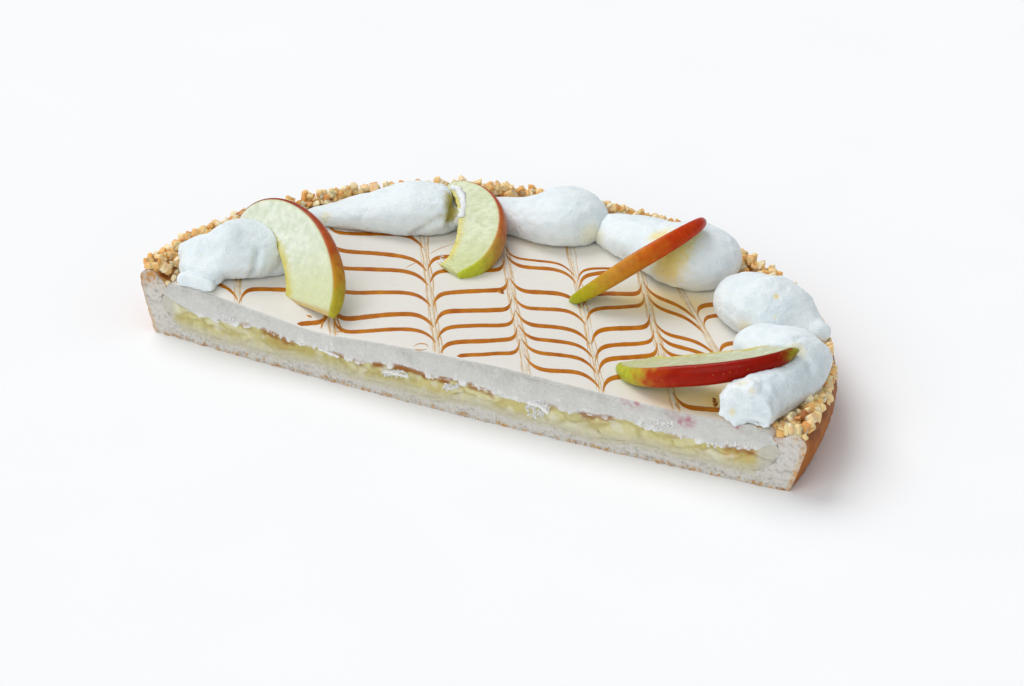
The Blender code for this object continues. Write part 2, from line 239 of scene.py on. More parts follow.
def smoothRun(corners, counts):  # a smooth run of points through the corners
    padded = [Vector(p) for p in (corners[0], *corners, corners[-1])]
    fine = []
    for i, count in enumerate(counts):
        a, b, c, d = padded[i:i + 4]
        for k in range(count):
            t = k / count
            fine.append(0.5 * ((2 * b) + (c - a) * t + (2 * a - 5 * b + 4 * c - d) * t ** 2
                               + (3 * b - a - 3 * c + d) * t ** 3))
    fine.append(Vector(corners[-1]))
    return [tuple(p) for p in fine]


def layerEdge(piece, corners):  # an outline's run, with the same number of points at every spot
    counts = piece.setdefault("counts", stepCounts(corners, layerMesh["ringStep"]))
    return smoothRun(corners, counts)


def layerRings():  # even steps over a layer's flat middle
    return np.linspace(0, flan["flatRadius"], round(flan["flatRadius"] / layerMesh["ringStep"]))


def sweepLayer(outlineAt):
    # A layer is its outline carried straight back from the cut for 3 mm and then round half a turn,
    # closed by a finely divided cut face. Everything is in millimetres, before the cut is bowed.
    depth = layerMesh["slabRows"][-1]
    squeeze = (flan["rimRadius"] - depth) / flan["rimRadius"]
    spots = [lambda r, d=d: (r, d) for d in layerMesh["slabRows"]]
    for k in range(1, layerMesh["turnSteps"]):
        angle = math.pi * k / layerMesh["turnSteps"]
        c, s = math.cos(angle), math.sin(angle)
        spots.append(lambda r, c=c, s=s: (r * c, depth + r * s * squeeze))
    spots += [lambda r, d=d: (-r, d) for d in reversed(layerMesh["slabRows"])]
    meshData = bmesh.new()
    rows = []
    for spot in spots:
        rows.append([meshData.verts.new((*spot(r), z)) for r, z in outlineAt(spot)])
    for left, right in zip(rows, rows[1:]):
        for i in range(len(left) - 1):
            meshData.faces.new([left[i], left[i + 1], right[i + 1], right[i]])
    loop = rows[0] + rows[-1][-2:0:-1]
    flat = [(v.co.x, v.co.z) for v in loop]
    inside = pointsInside(flat, layerMesh["cutStep"])
    corners, _, triangles, sources, _, _ = delaunay_2d_cdt(
        [Vector(p) for p in flat + inside], [], [list(range(len(flat)))], 1, 1e-5)
    made = []
    for corner, source in zip(corners, sources):
        if source and source[0] < len(loop):
            made.append(loop[source[0]])
        else:
            made.append(meshData.verts.new((corner.x, 0.0, corner.y)))
    for triangle in triangles:
        meshData.faces.new([made[i] for i in triangle])
    bmesh.ops.remove_doubles(meshData, verts=meshData.verts, dist=1e-4)
    bmesh.ops.recalc_face_normals(meshData, faces=meshData.faces)
    return meshData


def pointsInside(outline, step):  # an uneven grid of points inside an outline, clear of its edge
    rng = random.Random(5)
    line = np.array(outline)
    low, high = line.min(axis=0), line.max(axis=0)
    near = kdtree.KDTree(len(outline))
    for i, (x, z) in enumerate(outline):
        near.insert((x, z, 0), i)
    near.balance()
    kept = []
    after = np.roll(line, -1, axis=0)
    rows = np.arange(low[1] + step / 2, high[1], step * 0.87)
    for j, z in enumerate(rows):
        crossing = (line[:, 1] > z) != (after[:, 1] > z)
        a, b = line[crossing], after[crossing]
        cuts = sorted(a[:, 0] + (z - a[:, 1]) / (b[:, 1] - a[:, 1]) * (b[:, 0] - a[:, 0]))
        for start, end in zip(cuts[::2], cuts[1::2]):
            for x in np.arange(start + step * (0.5 + 0.5 * (j % 2)), end, step):
                point = (x + rng.uniform(-0.2, 0.2) * step, z + rng.uniform(-0.15, 0.15) * step)
                if near.find((*point, 0))[2] > 0.45 * step:
                    kept.append(point)
    return kept


def startLayer(outlineAt):  # also 1 on the cut face, fading out behind it
    meshData = sweepLayer(outlineAt)
    points = np.array([v.co[:] for v in meshData.verts])
    return meshData, points, 1 - ramp(points[:, 1], 0.0, layerMesh["cutFade"])


def finishLayer(name, meshData, points, colours, wet, look, node):
    for vert, point in zip(meshData.verts, points):
        vert.co = point
        x, y, z = vert.co
        vert.co = place(x, bowed(x, y), z)
    return addPiece(name, closedMesh(name, meshData), colours, wet, [look], node, node)


def stained(colours, points, stains, patch=1.0):  # the colours with soft stains on the cut
    for x, z, reach, strength, tone in stains:
        spread = np.exp(-((points[:, 0] - x) ** 2 + (points[:, 2] - z) ** 2) / reach ** 2)
        colours = mixColours(colours, tone, np.clip(strength * spread * patch, 0, 1))
    return colours


# Materials

def addNode(tree, kind, settings=None, links=None):
    node = tree.nodes.new(kind)
    for key, value in (settings or {}).items():
        if isinstance(key, str) and hasattr(node, key):
            setattr(node, key, value)
        else:
            node.inputs[key].default_value = value
    for key, source in (links or {}).items():
        tree.links.new(source, node.inputs[key])
    return node


def newMaterial(name, constants):
    material = bpy.data.materials.new(name)
    material.use_nodes = True
    tree = material.node_tree
    shader = tree.nodes["Principled BSDF"]
    for key, value in constants.items():
        shader.inputs[key].default_value = value
    spot = addNode(tree, "ShaderNodeTexCoord").outputs["Object"]
    return material, tree, shader, {"Vector": spot}


def scattering(weight, radius, size):  # light that goes some way into the food, size in mm
    return {"Subsurface Weight": weight, "Subsurface Radius": radius, "Subsurface Scale": size * mm}


def perMm(size):  # a noise scale, in the frame's metres, for features of that many mm
    return 1 / (size * mm)


def toned(tree, pattern, low, high):  # the painted colour, made lighter and darker by a pattern
    paint = addNode(tree, "ShaderNodeAttribute", {"attribute_name": "paint"})
    tone = addNode(tree, "ShaderNodeMapRange", {1: 0.3, 2: 0.7, 3: low, 4: high}, {0: pattern})
    return addNode(tree, "ShaderNodeVectorMath", {"operation": "SCALE"},
                   {0: paint.outputs["Color"], "Scale": tone.outputs[0]}).outputs[0]


def byWetness(tree, dry, wet):  # a value that goes from the dry one to the wet one
    paint = addNode(tree, "ShaderNodeAttribute", {"attribute_name": "paint"})
    return addNode(tree, "ShaderNodeMapRange", {3: dry, 4: wet}, {0: paint.outputs["Alpha"]}).outputs[0]


def dress(tree, shader, colour, height, strength, depth, roughness=None):
    # colour and relief, and roughness where it changes; the relief's strength is a number or a link
    bump = addNode(tree, "ShaderNodeBump", {"Distance": depth * mm}, {"Height": height})
    if isinstance(strength, float):
        bump.inputs["Strength"].default_value = strength
    else:
        tree.links.new(strength, bump.inputs["Strength"])
    tree.links.new(colour, shader.inputs["Base Color"])
    tree.links.new(bump.outputs[0], shader.inputs["Normal"])
    if roughness:
        tree.links.new(roughness, shader.inputs["Roughness"])


def foodFinish(name, constants, size, pattern, tones, strength, depth, roughness=None):
    # a painted food with one pattern, of a size in mm, in its tone and its relief; its roughness goes
    # from dry to wet where it changes
    material, tree, shader, at = newMaterial(name, constants)
    grain = addNode(tree, "ShaderNodeTexNoise", {"Scale": perMm(size), **pattern}, at).outputs[0]
    change = byWetness(tree, *roughness) if roughness else None
    dress(tree, shader, toned(tree, grain, *tones), grain, strength, depth, change)
    return material


def whippedCreamFinish():
    # Whipped dairy cream, piped: fat and air scatter the light, so it is matte, white and soft in
    # the shade. Pores of 0.3 mm are drawn at 0.9 mm so that they show.
    material, tree, shader, at = newMaterial("whippedCreamPiped", {
        "Roughness": 0.6, "IOR": 1.4, **scattering(0.5, (1.0, 0.97, 0.9), 1.8)})
    pores = addNode(tree, "ShaderNodeTexNoise", {"Scale": perMm(0.9), "Detail": 3.0, "Roughness": 0.65}, at)
    drag = addNode(tree, "ShaderNodeTexNoise", {"Scale": perMm(2.6), "Detail": 3.0, "Distortion": 1.2}, at)
    height = addNode(tree, "ShaderNodeMath", {"operation": "MULTIPLY_ADD", 1: 2.2},
                     {0: drag.outputs[0], 2: pores.outputs[0]})
    dress(tree, shader, toned(tree, pores.outputs[0], 0.97, 1.015), height.outputs[0], 0.6, 0.45)
    return material


def vanillaCreamFinish():
    # Set vanilla cream, poured and cut: a satin skin on top, and where the knife went through a
    # fine airy crumb, with pores of 0.3 mm drawn at 0.8 mm.
    material, tree, shader, at = newMaterial("vanillaCreamSet", {
        "IOR": 1.4, **scattering(0.2, (1.0, 0.9, 0.75), 1.0)})
    pores = addNode(tree, "ShaderNodeTexNoise", {"Scale": perMm(0.8), "Detail": 4.0, "Roughness": 0.65}, at)
    lumps = addNode(tree, "ShaderNodeTexNoise", {"Scale": perMm(2.4), "Detail": 3.0, "Roughness": 0.6}, at)
    height = addNode(tree, "ShaderNodeMath", {"operation": "MULTIPLY_ADD", 1: 2.0},
                     {0: lumps.outputs[0], 2: pores.outputs[0]})
    colour = addNode(tree, "ShaderNodeMix", {"data_type": "RGBA"},
                     {0: byWetness(tree, 0.0, 1.0), 6: toned(tree, pores.outputs[0], 0.93, 1.05),
                      7: toned(tree, lumps.outputs[0], 0.985, 1.01)})
    dress(tree, shader, colour.outputs[2], height.outputs[0], byWetness(tree, 0.7, 0.04), 0.35,
          byWetness(tree, 0.75, 0.4))
    return material


def bakedCrustFinish():
    # Sweet shortcrust, baked: dull and sandy, a grain of 0.4 mm drawn at 0.9 mm, browned outside.
    material, tree, shader, at = newMaterial("shortcrustBaked", {"IOR": 1.45})
    grain = addNode(tree, "ShaderNodeTexNoise", {"Scale": perMm(0.9), "Detail": 4.0, "Roughness": 0.7}, at)
    holes = addNode(tree, "ShaderNodeTexVoronoi", {"Scale": perMm(1.9)}, at)
    height = addNode(tree, "ShaderNodeMath", {"operation": "ADD"}, {0: grain.outputs[0], 1: holes.outputs[0]})
    dress(tree, shader, toned(tree, grain.outputs[0], 0.86, 1.09), height.outputs[0], 0.5, 0.5,
          byWetness(tree, 0.85, 0.35))
    return material


def appleSkinFinish():
    # Apple skin: a thin waxy peel, streaked from end to end, with pale breathing spots of 0.5 mm.
    material, tree, shader, at = newMaterial("appleSkinWaxed", {
        "Roughness": 0.26, "IOR": 1.42, "Specular IOR Level": 0.15})
    spots = addNode(tree, "ShaderNodeTexVoronoi", {"Scale": perMm(2.4), "Randomness": 1.0}, at)
    dots = addNode(tree, "ShaderNodeMapRange", {1: 0.06, 2: 0.12, 3: 0.35, 4: 0.0},
                   {0: spots.outputs["Distance"]})
    mottle = addNode(tree, "ShaderNodeTexNoise", {"Scale": perMm(2.2), "Detail": 3.0}, at)
    dotted = addNode(tree, "ShaderNodeMix", {"data_type": "RGBA", 7: (*linear("#D8A04C"), 1)},
                     {0: dots.outputs[0], 6: toned(tree, mottle.outputs[0], 0.88, 1.1)})
    dress(tree, shader, dotted.outputs[2], mottle.outputs[0], 0.12, 0.3)
    return material


def paintedBoardFinish():
    # A studio sweep of matt painted board: pale, even and without gloss.
    material, tree, shader, at = newMaterial("studioBoardMatt", {"Roughness": 0.9})
    fleck = addNode(tree, "ShaderNodeTexNoise", {"Scale": perMm(60), "Detail": 1.0}, at)
    tone = addNode(tree, "ShaderNodeMapRange", {1: 0.3, 2: 0.7, 3: 0.97, 4: 0.98}, {0: fleck.outputs[0]})
    colour = addNode(tree, "ShaderNodeCombineColor", None, dict.fromkeys((0, 1, 2), tone.outputs[0]))
    tree.links.new(colour.outputs[0], shader.inputs["Base Color"])
    return material


finishes = {
    "whipped": whippedCreamFinish(),
    "vanilla": vanillaCreamFinish(),
    "crust": bakedCrustFinish(),
    "skin": appleSkinFinish(),
    "board": paintedBoardFinish(),
    # Stewed apple in set juice: soft, wet and cloudy, with light going some way in.
    "filling": foodFinish("stewedAppleGlazed", {"IOR": 1.36, **scattering(0.35, (1.0, 0.85, 0.45), 2.5)},
                          1.8, {"Detail": 3.0, "Roughness": 0.5}, (0.93, 1.06), 0.22, 0.5, (0.65, 0.3)),
    # Cooked sugar caramel, drawn out thin: smooth and half glossy, lighter where it runs thin.
    "caramel": foodFinish("caramelDrawn", {"Roughness": 0.42, "IOR": 1.45, "Specular IOR Level": 0.12},
                          2.0, {"Detail": 2.0}, (0.9, 1.1), 0.1, 0.3),
    # Chopped hazelnut, toasted in sugar: ivory where cut, golden where browned, with a thin glaze.
    "nut": foodFinish("hazelnutToasted", {"IOR": 1.45, **scattering(0.6, (1.0, 0.75, 0.45), 1.5)},
                      1.3, {"Detail": 3.0}, (0.88, 1.06), 0.25, 0.3, (0.6, 0.3)),
    # Raw apple flesh, cut and glazed with juice: wet, pale and translucent, with cells that sparkle.
    "flesh": foodFinish("appleFleshCut",
                        {"Roughness": 0.26, "IOR": 1.36, **scattering(0.35, (1.0, 1.0, 0.6), 2.0)},
                        1.3, {"Detail": 3.0, "Roughness": 0.6}, (0.95, 1.04), 0.7, 0.4),
}

# Crust
crust = {
    "crumb": "#DAD6CE",
    "crumbShade": "#B9B4AA",
    # painted shade for the pits of the crumb
    "pitShade": "#B3ACA0",
    "toast": "#D6A566",
    "soaked": "#CFC9AE",
    "wall": "#B4691E",
    "wallDark": "#8E4A0E",
    "rim": "#DBA660",
    "underside": "#C99A5C",
    "relief": 0.4,
    # the wall's outer radius at a few heights
    "outerHeights": (0, 1.4, 7, 13, 20, 30),
    "outerRadii": (134.2, 135.1, 136.8, 138.6, 140.2, 140.2),
    # stains on the cut: x, height, reach, strength, colour
    "stains": ((129.5, 20.3, 1.9, 0.8, "#B5672C"), (125.5, 22.0, 2.6, 0.7, "#E8DCC2"),
               (-131, 21, 2.5, 0.5, "#DDBB8C"), (-138, 23, 3.2, 1.3, "#C08644"),
               (-134.5, 24.5, 2.4, 1.0, "#CC9654"), (136, 22, 2.4, 0.7, "#D9A45E")),
}


def crustOutline(spot):
    x, y = spot(flan["rimRadius"])
    angle = math.atan2(y, x)
    top, shift = rimHeight(angle), wallShift(angle)
    rim, crest, base = flan["rimRadius"] + shift, flan["crestRadius"] + shift, flan["baseRadius"]
    wall, middle, lip = flan["wallInner"], flan["wallMiddle"], flan["lipRadius"]
    corners = [(flan["flatRadius"], flan["floor"]), (flan["floorRadius"], flan["floor"] + 0.7),
               (wall - 2.7, middle - 4.4), (wall, middle), (wall - 0.7, middle + 4), (lip, flan["lipHeight"]),
               (lip + 3.6, top - 2.3), (crest, top), (rim - 1.6, top - 1.3), (rim, top - 4.4),
               (rim - 1.6, 13.0), (rim - 3.4, 7.0), (base + 0.9, 1.4), (base, 0.0)]
    inside = [(r, floorHeight(*spot(r))) for r in layerRings()]
    underside = [(r, 0.0) for r in np.linspace(base, 0, 60)[1:]]
    return inside + layerEdge(crust, corners)[1:] + underside


def makeCrust():
    meshData, points, cut = startLayer(crustOutline)
    radius = np.hypot(points[:, 0], points[:, 1])
    outside = ramp(radius, 131.5, 134.5)
    coarse, fine, tiny = cloud(points, 4.5, 1), cloud(points, 1.6, 2), cloud(points, 0.9, 3)
    flaky = cloud(points * np.array([0.6, 1, 1.3]), 1.5, 4)  # layers that run along the base
    pits = ramp(0.7 * fine + 0.9 * tiny + 0.3 * flaky, 0.3, 0.9)
    points[:, 1] -= cut * (crust["relief"] * (0.7 * fine + 1.0 * tiny + 0.5 * flaky)
                           + 0.4 * coarse - 0.25 * pits)
    push = outside * (1 - cut) * ramp(points[:, 2], 0.1, 1.2) * (0.5 * coarse + 0.25 * fine + 0.12 * tiny)
    points[:, 0] += push * points[:, 0] / np.maximum(radius, 1)
    points[:, 1] += push * points[:, 1] / np.maximum(radius, 1)
    height = points[:, 2]
    # the cut: crumb, with painted shade in its pits, soaked under the filling and toasted in patches towards
    # its edges
    colours = mixColours(crust["crumb"], crust["crumbShade"], ramp(0.6 * flaky + 0.6 * tiny, 0.0, 0.6))
    colours = mixColours(colours, crust["pitShade"], pits * 0.6)
    soaked = ramp(height - heightsAt(floorHeight, points) + 0.7 * fine, -2.6, -0.2) * (radius < 122)
    colours = mixColours(colours, crust["soaked"], soaked * 0.9)
    low = 1 - ramp(height + 0.9 * coarse, 0.1, 1.3)
    outerEdge = np.interp(height, crust["outerHeights"], crust["outerRadii"])
    rimEdge = ramp(radius + 0.6 * coarse + 0.5 * fine - outerEdge, -2.2, -0.6)
    specks = ramp(cloud(points, 1.4, 8) + 0.5 * cloud(points, 3.5, 9), 0.1, 0.4)
    browned = np.clip(np.maximum(low * specks, rimEdge * (0.5 + 0.5 * specks)), 0, 1)
    toast = mixColours(crust["toast"], crust["wallDark"], ramp(fine, 0.1, 0.6))
    cutColours = stained(mixColours(colours, toast, browned), points, crust["stains"], 0.35 + specks)
    # the baked outside: wall, rim and underside
    dark = np.clip(ramp(coarse + 0.5 * fine, -0.2, 0.8) + ramp(height, 15, 24) * 0.4, 0, 1)
    wall = mixColours(crust["wall"], crust["wallDark"], dark)
    rimTop = ramp(height, 18.5, 21.5)
    rimTone = mixColours(crust["rim"], crust["wallDark"], ramp(fine, -0.2, 0.5))
    skin = mixColours(wall, rimTone, rimTop * (1 - ramp(radius, 136, 139)))
    skin = mixColours(skin, crust["underside"], 1 - ramp(height, 0.0, 0.6))
    shown = mixColours(skin, cutColours, ramp(cut, 0.3, 0.7))
    return finishLayer("shortcrustShell", meshData, points, shown, rimTop * (1 - cut) * 0.6, "crust", "crust")


crustPiece = makeCrust()

# Apple filling
filling = {
    "tones": ("#D9D3A0", "#CDC282", "#BFB26A", "#DEDABC"),
    "seam": "#B7A763",
    "soaked": "#CFC9AE",
    "end": "#CAC6B8",  # where it runs out into the crumb
    "pale": "#E4E1CC",
    "caramel": "#9A6220",
    "chunk": (15.0, 9.0),  # width and height of a piece of apple in the cut
    "bulge": 0.7,
    # where caramel lies between filling and cream along the cut: from, to, strength
    "pockets": ((-93, -89, 0.6), (-83, -69, 0.9), (-51, -47, 0.8), (-44, -38, 0.6), (-34, 3, 1.0),
                (7, 17, 0.8), (38, 43, 0.5), (53, 66, 0.8), (88, 94, 0.4), (110, 121, 0.7)),
    # stains on the cut: x, height, reach, strength, colour
    "stains": ((-75, 10.5, 3.5, 0.6, "#B98A3C"), (-52, 9.5, 6.5, 0.6, "#B3A750"),
               (-60, 8.5, 5, 0.5, "#B3A750"), (-5, 9, 3.5, 0.5, "#BFA045"), (60, 13, 4, 0.5, "#B98F4E"),
               (118, 13.5, 3.2, 0.65, "#D98A35"), (112, 10, 2.5, 0.5, "#DA9A48"),
               (-120, 15, 5, 0.4, "#CBC16C"), (84, 10, 6, 0.35, "#BBAE5A")),
}


def pocketStrength(x):
    strength = np.zeros(len(x))
    for start, end, amount in filling["pockets"]:
        pocket = ramp(x, start - 2, start + 1) * (1 - ramp(x, end - 1, end + 2))
        strength = np.maximum(strength, amount * pocket)
    return strength


def fillingOutline(spot):
    wall, middle, flat = flan["wallInner"] + 0.2, flan["wallMiddle"], flan["flatRadius"]
    corners = [(flat, flan["fillingTop"]), (122.5, 14.8), (126.8, 17.6), (wall - 1.2, middle + 3.4),
               (wall, middle), (wall - 2.8, middle - 4.3), (flan["floorRadius"], flan["floor"] + 0.6),
               (flat, flan["floor"] - 0.1)]
    top = [(r, fillingHeight(*spot(r))) for r in layerRings()]
    bottom = [(r, floorHeight(*spot(r)) - 0.1) for r in reversed(layerRings())]
    return top + layerEdge(filling, corners)[1:-1] + bottom


def chunkFields(points, width, height):  # how far inside its piece of apple a point lies, and which piece
    inner, number = [], []
    for x, y, z in points:
        distances, centres = noise.voronoi(Vector((x / width, y / width, z / height)))
        inner.append(distances[1] - distances[0])
        number.append(noise.cell(centres[0] * 9.7))
    return np.array(inner), np.array(number)


def makeFilling():
    meshData, points, cut = startLayer(fillingOutline)
    inner, number = chunkFields(warped(points, 6, 21, 2.2), *filling["chunk"])
    body = ramp(inner, 0.0, 0.28)
    fine, tiny = cloud(points, 2.2, 24), cloud(points, 0.9, 25)
    above = points[:, 2] - heightsAt(floorHeight, points)
    below = heightsAt(fillingHeight, points) - points[:, 2]
    thick = np.maximum(heightsAt(fillingHeight, points) - heightsAt(floorHeight, points), 1)
    relief = cut * (0.15 + 0.85 * ramp(above, 0.3, 2.5) * ramp(below, 0.0, 1.6))
    points[:, 1] -= relief * (filling["bulge"] * (body - 0.75) + 0.25 * fine + 0.1 * tiny
                              + 0.5 * (number - 0.5))
    tones = np.array([linear(t) for t in filling["tones"]])
    pick = np.clip(number * len(tones), 0, len(tones) - 1.001)
    low = np.floor(pick).astype(int)
    colours = mixColours(tones[low], tones[low + 1], pick - low)
    colours = mixColours(filling["seam"], colours, 0.45 + 0.55 * ramp(inner, 0.0, 0.16))
    colours = mixColours(colours, filling["pale"], ramp(cloud(points, 4.0, 26), 0.2, 0.6) * 0.7)
    colours = stained(colours, points, filling["stains"], 0.6 + 0.8 * fine)
    rise = (above + 0.5 * fine) / thick
    colours = mixColours(filling["soaked"], colours, 0.12 + 0.88 * ramp(rise, 0.02, 0.5))
    ends = np.maximum(ramp(points[:, 0] + 1.5 * fine, 119.0, 126.0),
                      ramp(fine - points[:, 0], 123.0, 126.0)) * cut
    colours = mixColours(colours, filling["end"], ends)
    near = 1 - ramp(below - 0.7 * fine, 1.1, 2.6)
    pockets = pocketStrength(points[:, 0]) * near * ramp(cloud(points, 3.2, 27), -0.5, 0.0)
    colours = mixColours(colours, filling["caramel"], pockets)
    wet = 0.3 + 0.6 * body
    return finishLayer("stewedAppleLayer", meshData, points, colours, wet, "filling", "apple_filling")


fillingPiece = makeFilling()

# Cream layer
creamLayer = {
    "top": "#E8E3DA",
    "cut": "#D9D8D3",
    "cutShade": "#C3C1BA",
    # white of the torn flakes, partly painted light
    "litFlake": "#F4F3F0",
    "caramel": "#A0662A",
    "juice": "#F4D27A",
    "berry": "#B4506C",
    "sag": 1.3,  # how far torn flakes hang over the filling
    # stains of juice on top: x, y, reach, strength
    "juiceSpots": ((61, 76, 10, 0.7), (45, 72, 11, 0.65), (36, 68, 7, 0.4), (101, 14, 10, 1.0),
                   (86, 9, 9, 0.6), (-16, 100, 8, 0.25)),
    # red stains on the cut: x, height, reach, strength
    "berrySpots": ((71, 23.4, 2.6, 0.5), (75, 23.2, 2.4, 0.7), (92.8, 19.4, 1.8, 0.7), (96, 20.0, 2.0, 1.0),
                   (114, 22.0, 1.8, 0.7), (89, 22.4, 2.0, 0.3)),
}


def creamOutline(spot):
    lip, high, flat = flan["lipRadius"] - 0.2, flan["lipHeight"], flan["flatRadius"]
    edge = creamHeight(*spot(120))
    corners = [(flat, edge), (flan["floorRadius"], edge - 0.2), (lip - 0.4, edge - 1.3),
               (lip + 0.2, high - 0.1), (lip + 1.9, high - 2.5), (126.6, 17.6), (122.3, 14.8),
               (flat, flan["fillingTop"] - 0.1)]
    top = [(r, creamHeight(*spot(r))) for r in layerRings()]
    bottom = [(r, fillingHeight(*spot(r)) - 0.1) for r in reversed(layerRings())]
    return top + layerEdge(creamLayer, corners)[1:-1] + bottom


def makeCreamLayer():
    meshData, points, cut = startLayer(creamOutline)
    coarse, fine, tiny = cloud(points, 7, 41), cloud(points, 2.0, 42), cloud(points, 0.9, 43)
    above = points[:, 2] - heightsAt(fillingHeight, points)
    atTop = ramp(points[:, 2], 18.0, 20.0) * (np.abs(points[:, 2] - heightsAt(creamHeight, points)) < 1.6)
    ragged = ramp(0.7 * cloud(points, 4.5, 46) + 0.8 * cloud(points, 2.0, 48) + 0.5 * tiny, 0.0, 0.7)
    torn = cut * (1 - ramp(above, 0.2, 2.0)) * ragged
    points[:, 2] += atTop * (0.25 * cloud(points, 16, 44)
                             - 0.7 * np.exp(-points[:, 1] / 0.45) * (0.6 + 0.5 * fine))
    points[:, 2] -= creamLayer["sag"] * torn
    points[:, 1] -= cut * (0.6 * coarse + 0.35 * fine + 0.3 * tiny) + 0.5 * torn
    # tone that varies at random, with painted shade that deepens towards the top of the cut
    cutColours = mixColours(creamLayer["cut"], creamLayer["cutShade"],
                            ramp(0.4 * coarse + 0.4 * fine + 0.5 * tiny + 0.08 * above, 0.1, 1.3))
    streaks = pocketStrength(points[:, 0]) * (1 - ramp(above - 0.4 * fine, 0.3, 1.2)) * (1 - 0.8 * ragged)
    cutColours = mixColours(cutColours, creamLayer["caramel"], streaks * 0.9)
    # white torn flakes, partly the cream's own colour and partly painted light, brighter towards the lower
    # half of the cut
    flakes = ramp(0.7 * cloud(points, 9, 47) + 0.8 * fine + 0.5 * tiny, 0.1, 0.8)
    lit = np.clip(torn * 1.3 + (0.3 + 0.6 * (1 - ramp(above, 2.0, 6.0))) * flakes, 0, 1)
    cutColours = mixColours(cutColours, creamLayer["litFlake"], lit * 0.8)
    berries = [(*spot, creamLayer["berry"]) for spot in creamLayer["berrySpots"]]
    cutColours = stained(cutColours, points, berries, ramp(fine, -0.5, 0.2))
    topColours = np.tile(linear(creamLayer["top"]), (len(points), 1))
    for x, y, reach, strength in creamLayer["juiceSpots"]:
        spread = np.exp(-((points[:, 0] - x) ** 2 + (points[:, 1] - y) ** 2) / reach ** 2)
        topColours = mixColours(topColours, creamLayer["juice"], strength * spread)
    share = ramp(cut, 0.25, 0.8)
    colours = mixColours(topColours, cutColours, share)
    return finishLayer("vanillaCreamLayer", meshData, points, colours, 1 - share, "vanilla", "cream_layer")


creamPiece = makeCreamLayer()


def treeOf(mesh):
    return BVHTree.FromPolygons([v.co.copy() for v in mesh.vertices],
                                [tuple(p.vertices) for p in mesh.polygons])


creamTree = treeOf(creamPiece.data)
crustTree = treeOf(crustPiece.data)


def topOf(tree, x, y):  # height in mm of what lies under a place
    hit = tree.ray_cast(place(x, y, 90), Vector((0, 0, -1)))[0]
    return None if hit is None else hit.z / mm


def cameraBack():  # the way from the flan to the camera
    azimuth, elevation = math.radians(studio["azimuth"]), math.radians(studio["elevation"])
    return Vector((math.sin(azimuth) * math.cos(elevation), -math.cos(azimuth) * math.cos(elevation),
                   math.sin(elevation)))


def seenAt(tree, px, py):  # the flan's point on a piece that a pixel of the photograph shows
    back = cameraBack()
    right = Vector((0, 0, 1)).cross(back).normalized()
    up = back.cross(right)
    width, height = studio["picture"]
    scale = studio["sensor"] / studio["lens"] / width
    way = right * (px - width / 2) * scale + up * (height / 2 - py) * scale - back
    hit = tree.ray_cast(place(*studio["target"]) + back * studio["distance"] * mm, way.normalized())[0]
    return None if hit is None else flanPoint(hit)


# Caramel lines, drawn across the cream and then pulled to and fro with a knife
feather = {
    "along": (0.889, 0.458),
    "stroke": (-0.53, 0.848),
    # each pull of the knife: where it crosses the lines, its way, its reach to the left and right, its lean
    "strokes": ((-110, 1, 1.5, 2.0, 0), (-81, -1, 3.5, 2.0, 0), (-45.5, 1, 1.4, 2.0, 0),
                (-7, -1, 3.5, 2.0, 0), (24.5, 1, 1.3, 2.0, 0), (50.5, -1, 3.0, 2.0, 0),
                (76, 1, 1.3, 2.0, 0), (97, -1, 3.0, 2.0, -0.13), (122, 1, 1.4, 2.0, 0)),
    # the lines between each two pulls: how far up the cream, the rise to the right, and a finer line's width
    "lines": (((57.5, 0), (72, 0)),
              ((85, 0), (70, 0), (54, 0), (29, 5)),
              ((102.5, 0), (84.5, -5), (70.5, -2.5), (51.5, -0.5), (33, 4), (21.5, 0)),
              ((82, 0), (69.5, 0), (51.5, 2.5), (35.5, 0.5), (22.5, 1), (9.5, 2), (-2, 2)),
              ((78.5, -3, 2.2), (72, -2), (50.5, -1.5), (36.5, -0.5), (21.5, -3), (9.5, -3), (-2, -3),
               (-15, -0.5)),
              ((71.5, 0, 2.2), (68, 5), (49.5, -1.5), (38, 2), (20.5, 3), (7.5, 4), (-3, 3.5), (-17.5, 3)),
              ((44, -7), (34, -6.5), (13.5, -5.5), (4.5, -7), (-2.5, 0), (-42, -1), (-50, -1)),
              ((41, 2), (32, 2), (9.5, 2), (3, 2))),
    "pull": 14.0,
    "width": 3.6,
    "step": 0.35,  # between places along a line
    "streakStep": 0.8,
    "lift": 0.16,
    # round a strip: shares of its half width and of its lift
    "section": ((-1, -0.08), (-0.6, 0.75), (0, 1.0), (0.6, 0.75), (1, -0.08), (0, -1.2)),
    "edge": 125.5,
    "overCut": 0.9,  # lines stop where the cream's edge falls away by this much
    "caramel": "#A65400",
    "light": "#C47C0C",
    "thin": "#C68A38",
    "smear": "#E0D4BE",
    "streak": "#D2A76A",
    "streakReach": (-62, 104),
    # short strokes of the knife's tip: along pixels of the photograph, width in mm
    "flicks": ((((329, 309), (324, 318), (321, 329)), 1.1), (((333, 310), (334, 320), (335, 331)), 0.8),
               (((336, 310), (338, 321), (343, 331)), 0.7), (((335, 331), (343, 332), (352, 331)), 0.9),
               (((413, 347), (418, 344), (425, 344), (429, 347)), 0.9),
               (((414, 349), (421, 350), (428, 349)), 0.7),
               (((405, 268), (411, 265), (417, 262)), 0.5), (((429, 254), (441, 248), (455, 243)), 0.45),
               (((437, 262), (444, 268), (452, 274)), 0.5), (((497, 290), (501, 292), (504, 294)), 2.4),
               (((306, 315), (309, 316), (312, 318)), 1.4)),
}


def strokePlace(u, v):  # along the lines and along the strokes, to the flan's x and y
    ax, ay = feather["along"]
    sx, sy = feather["stroke"]
    return u * ax + v * sx, u * ay + v * sy


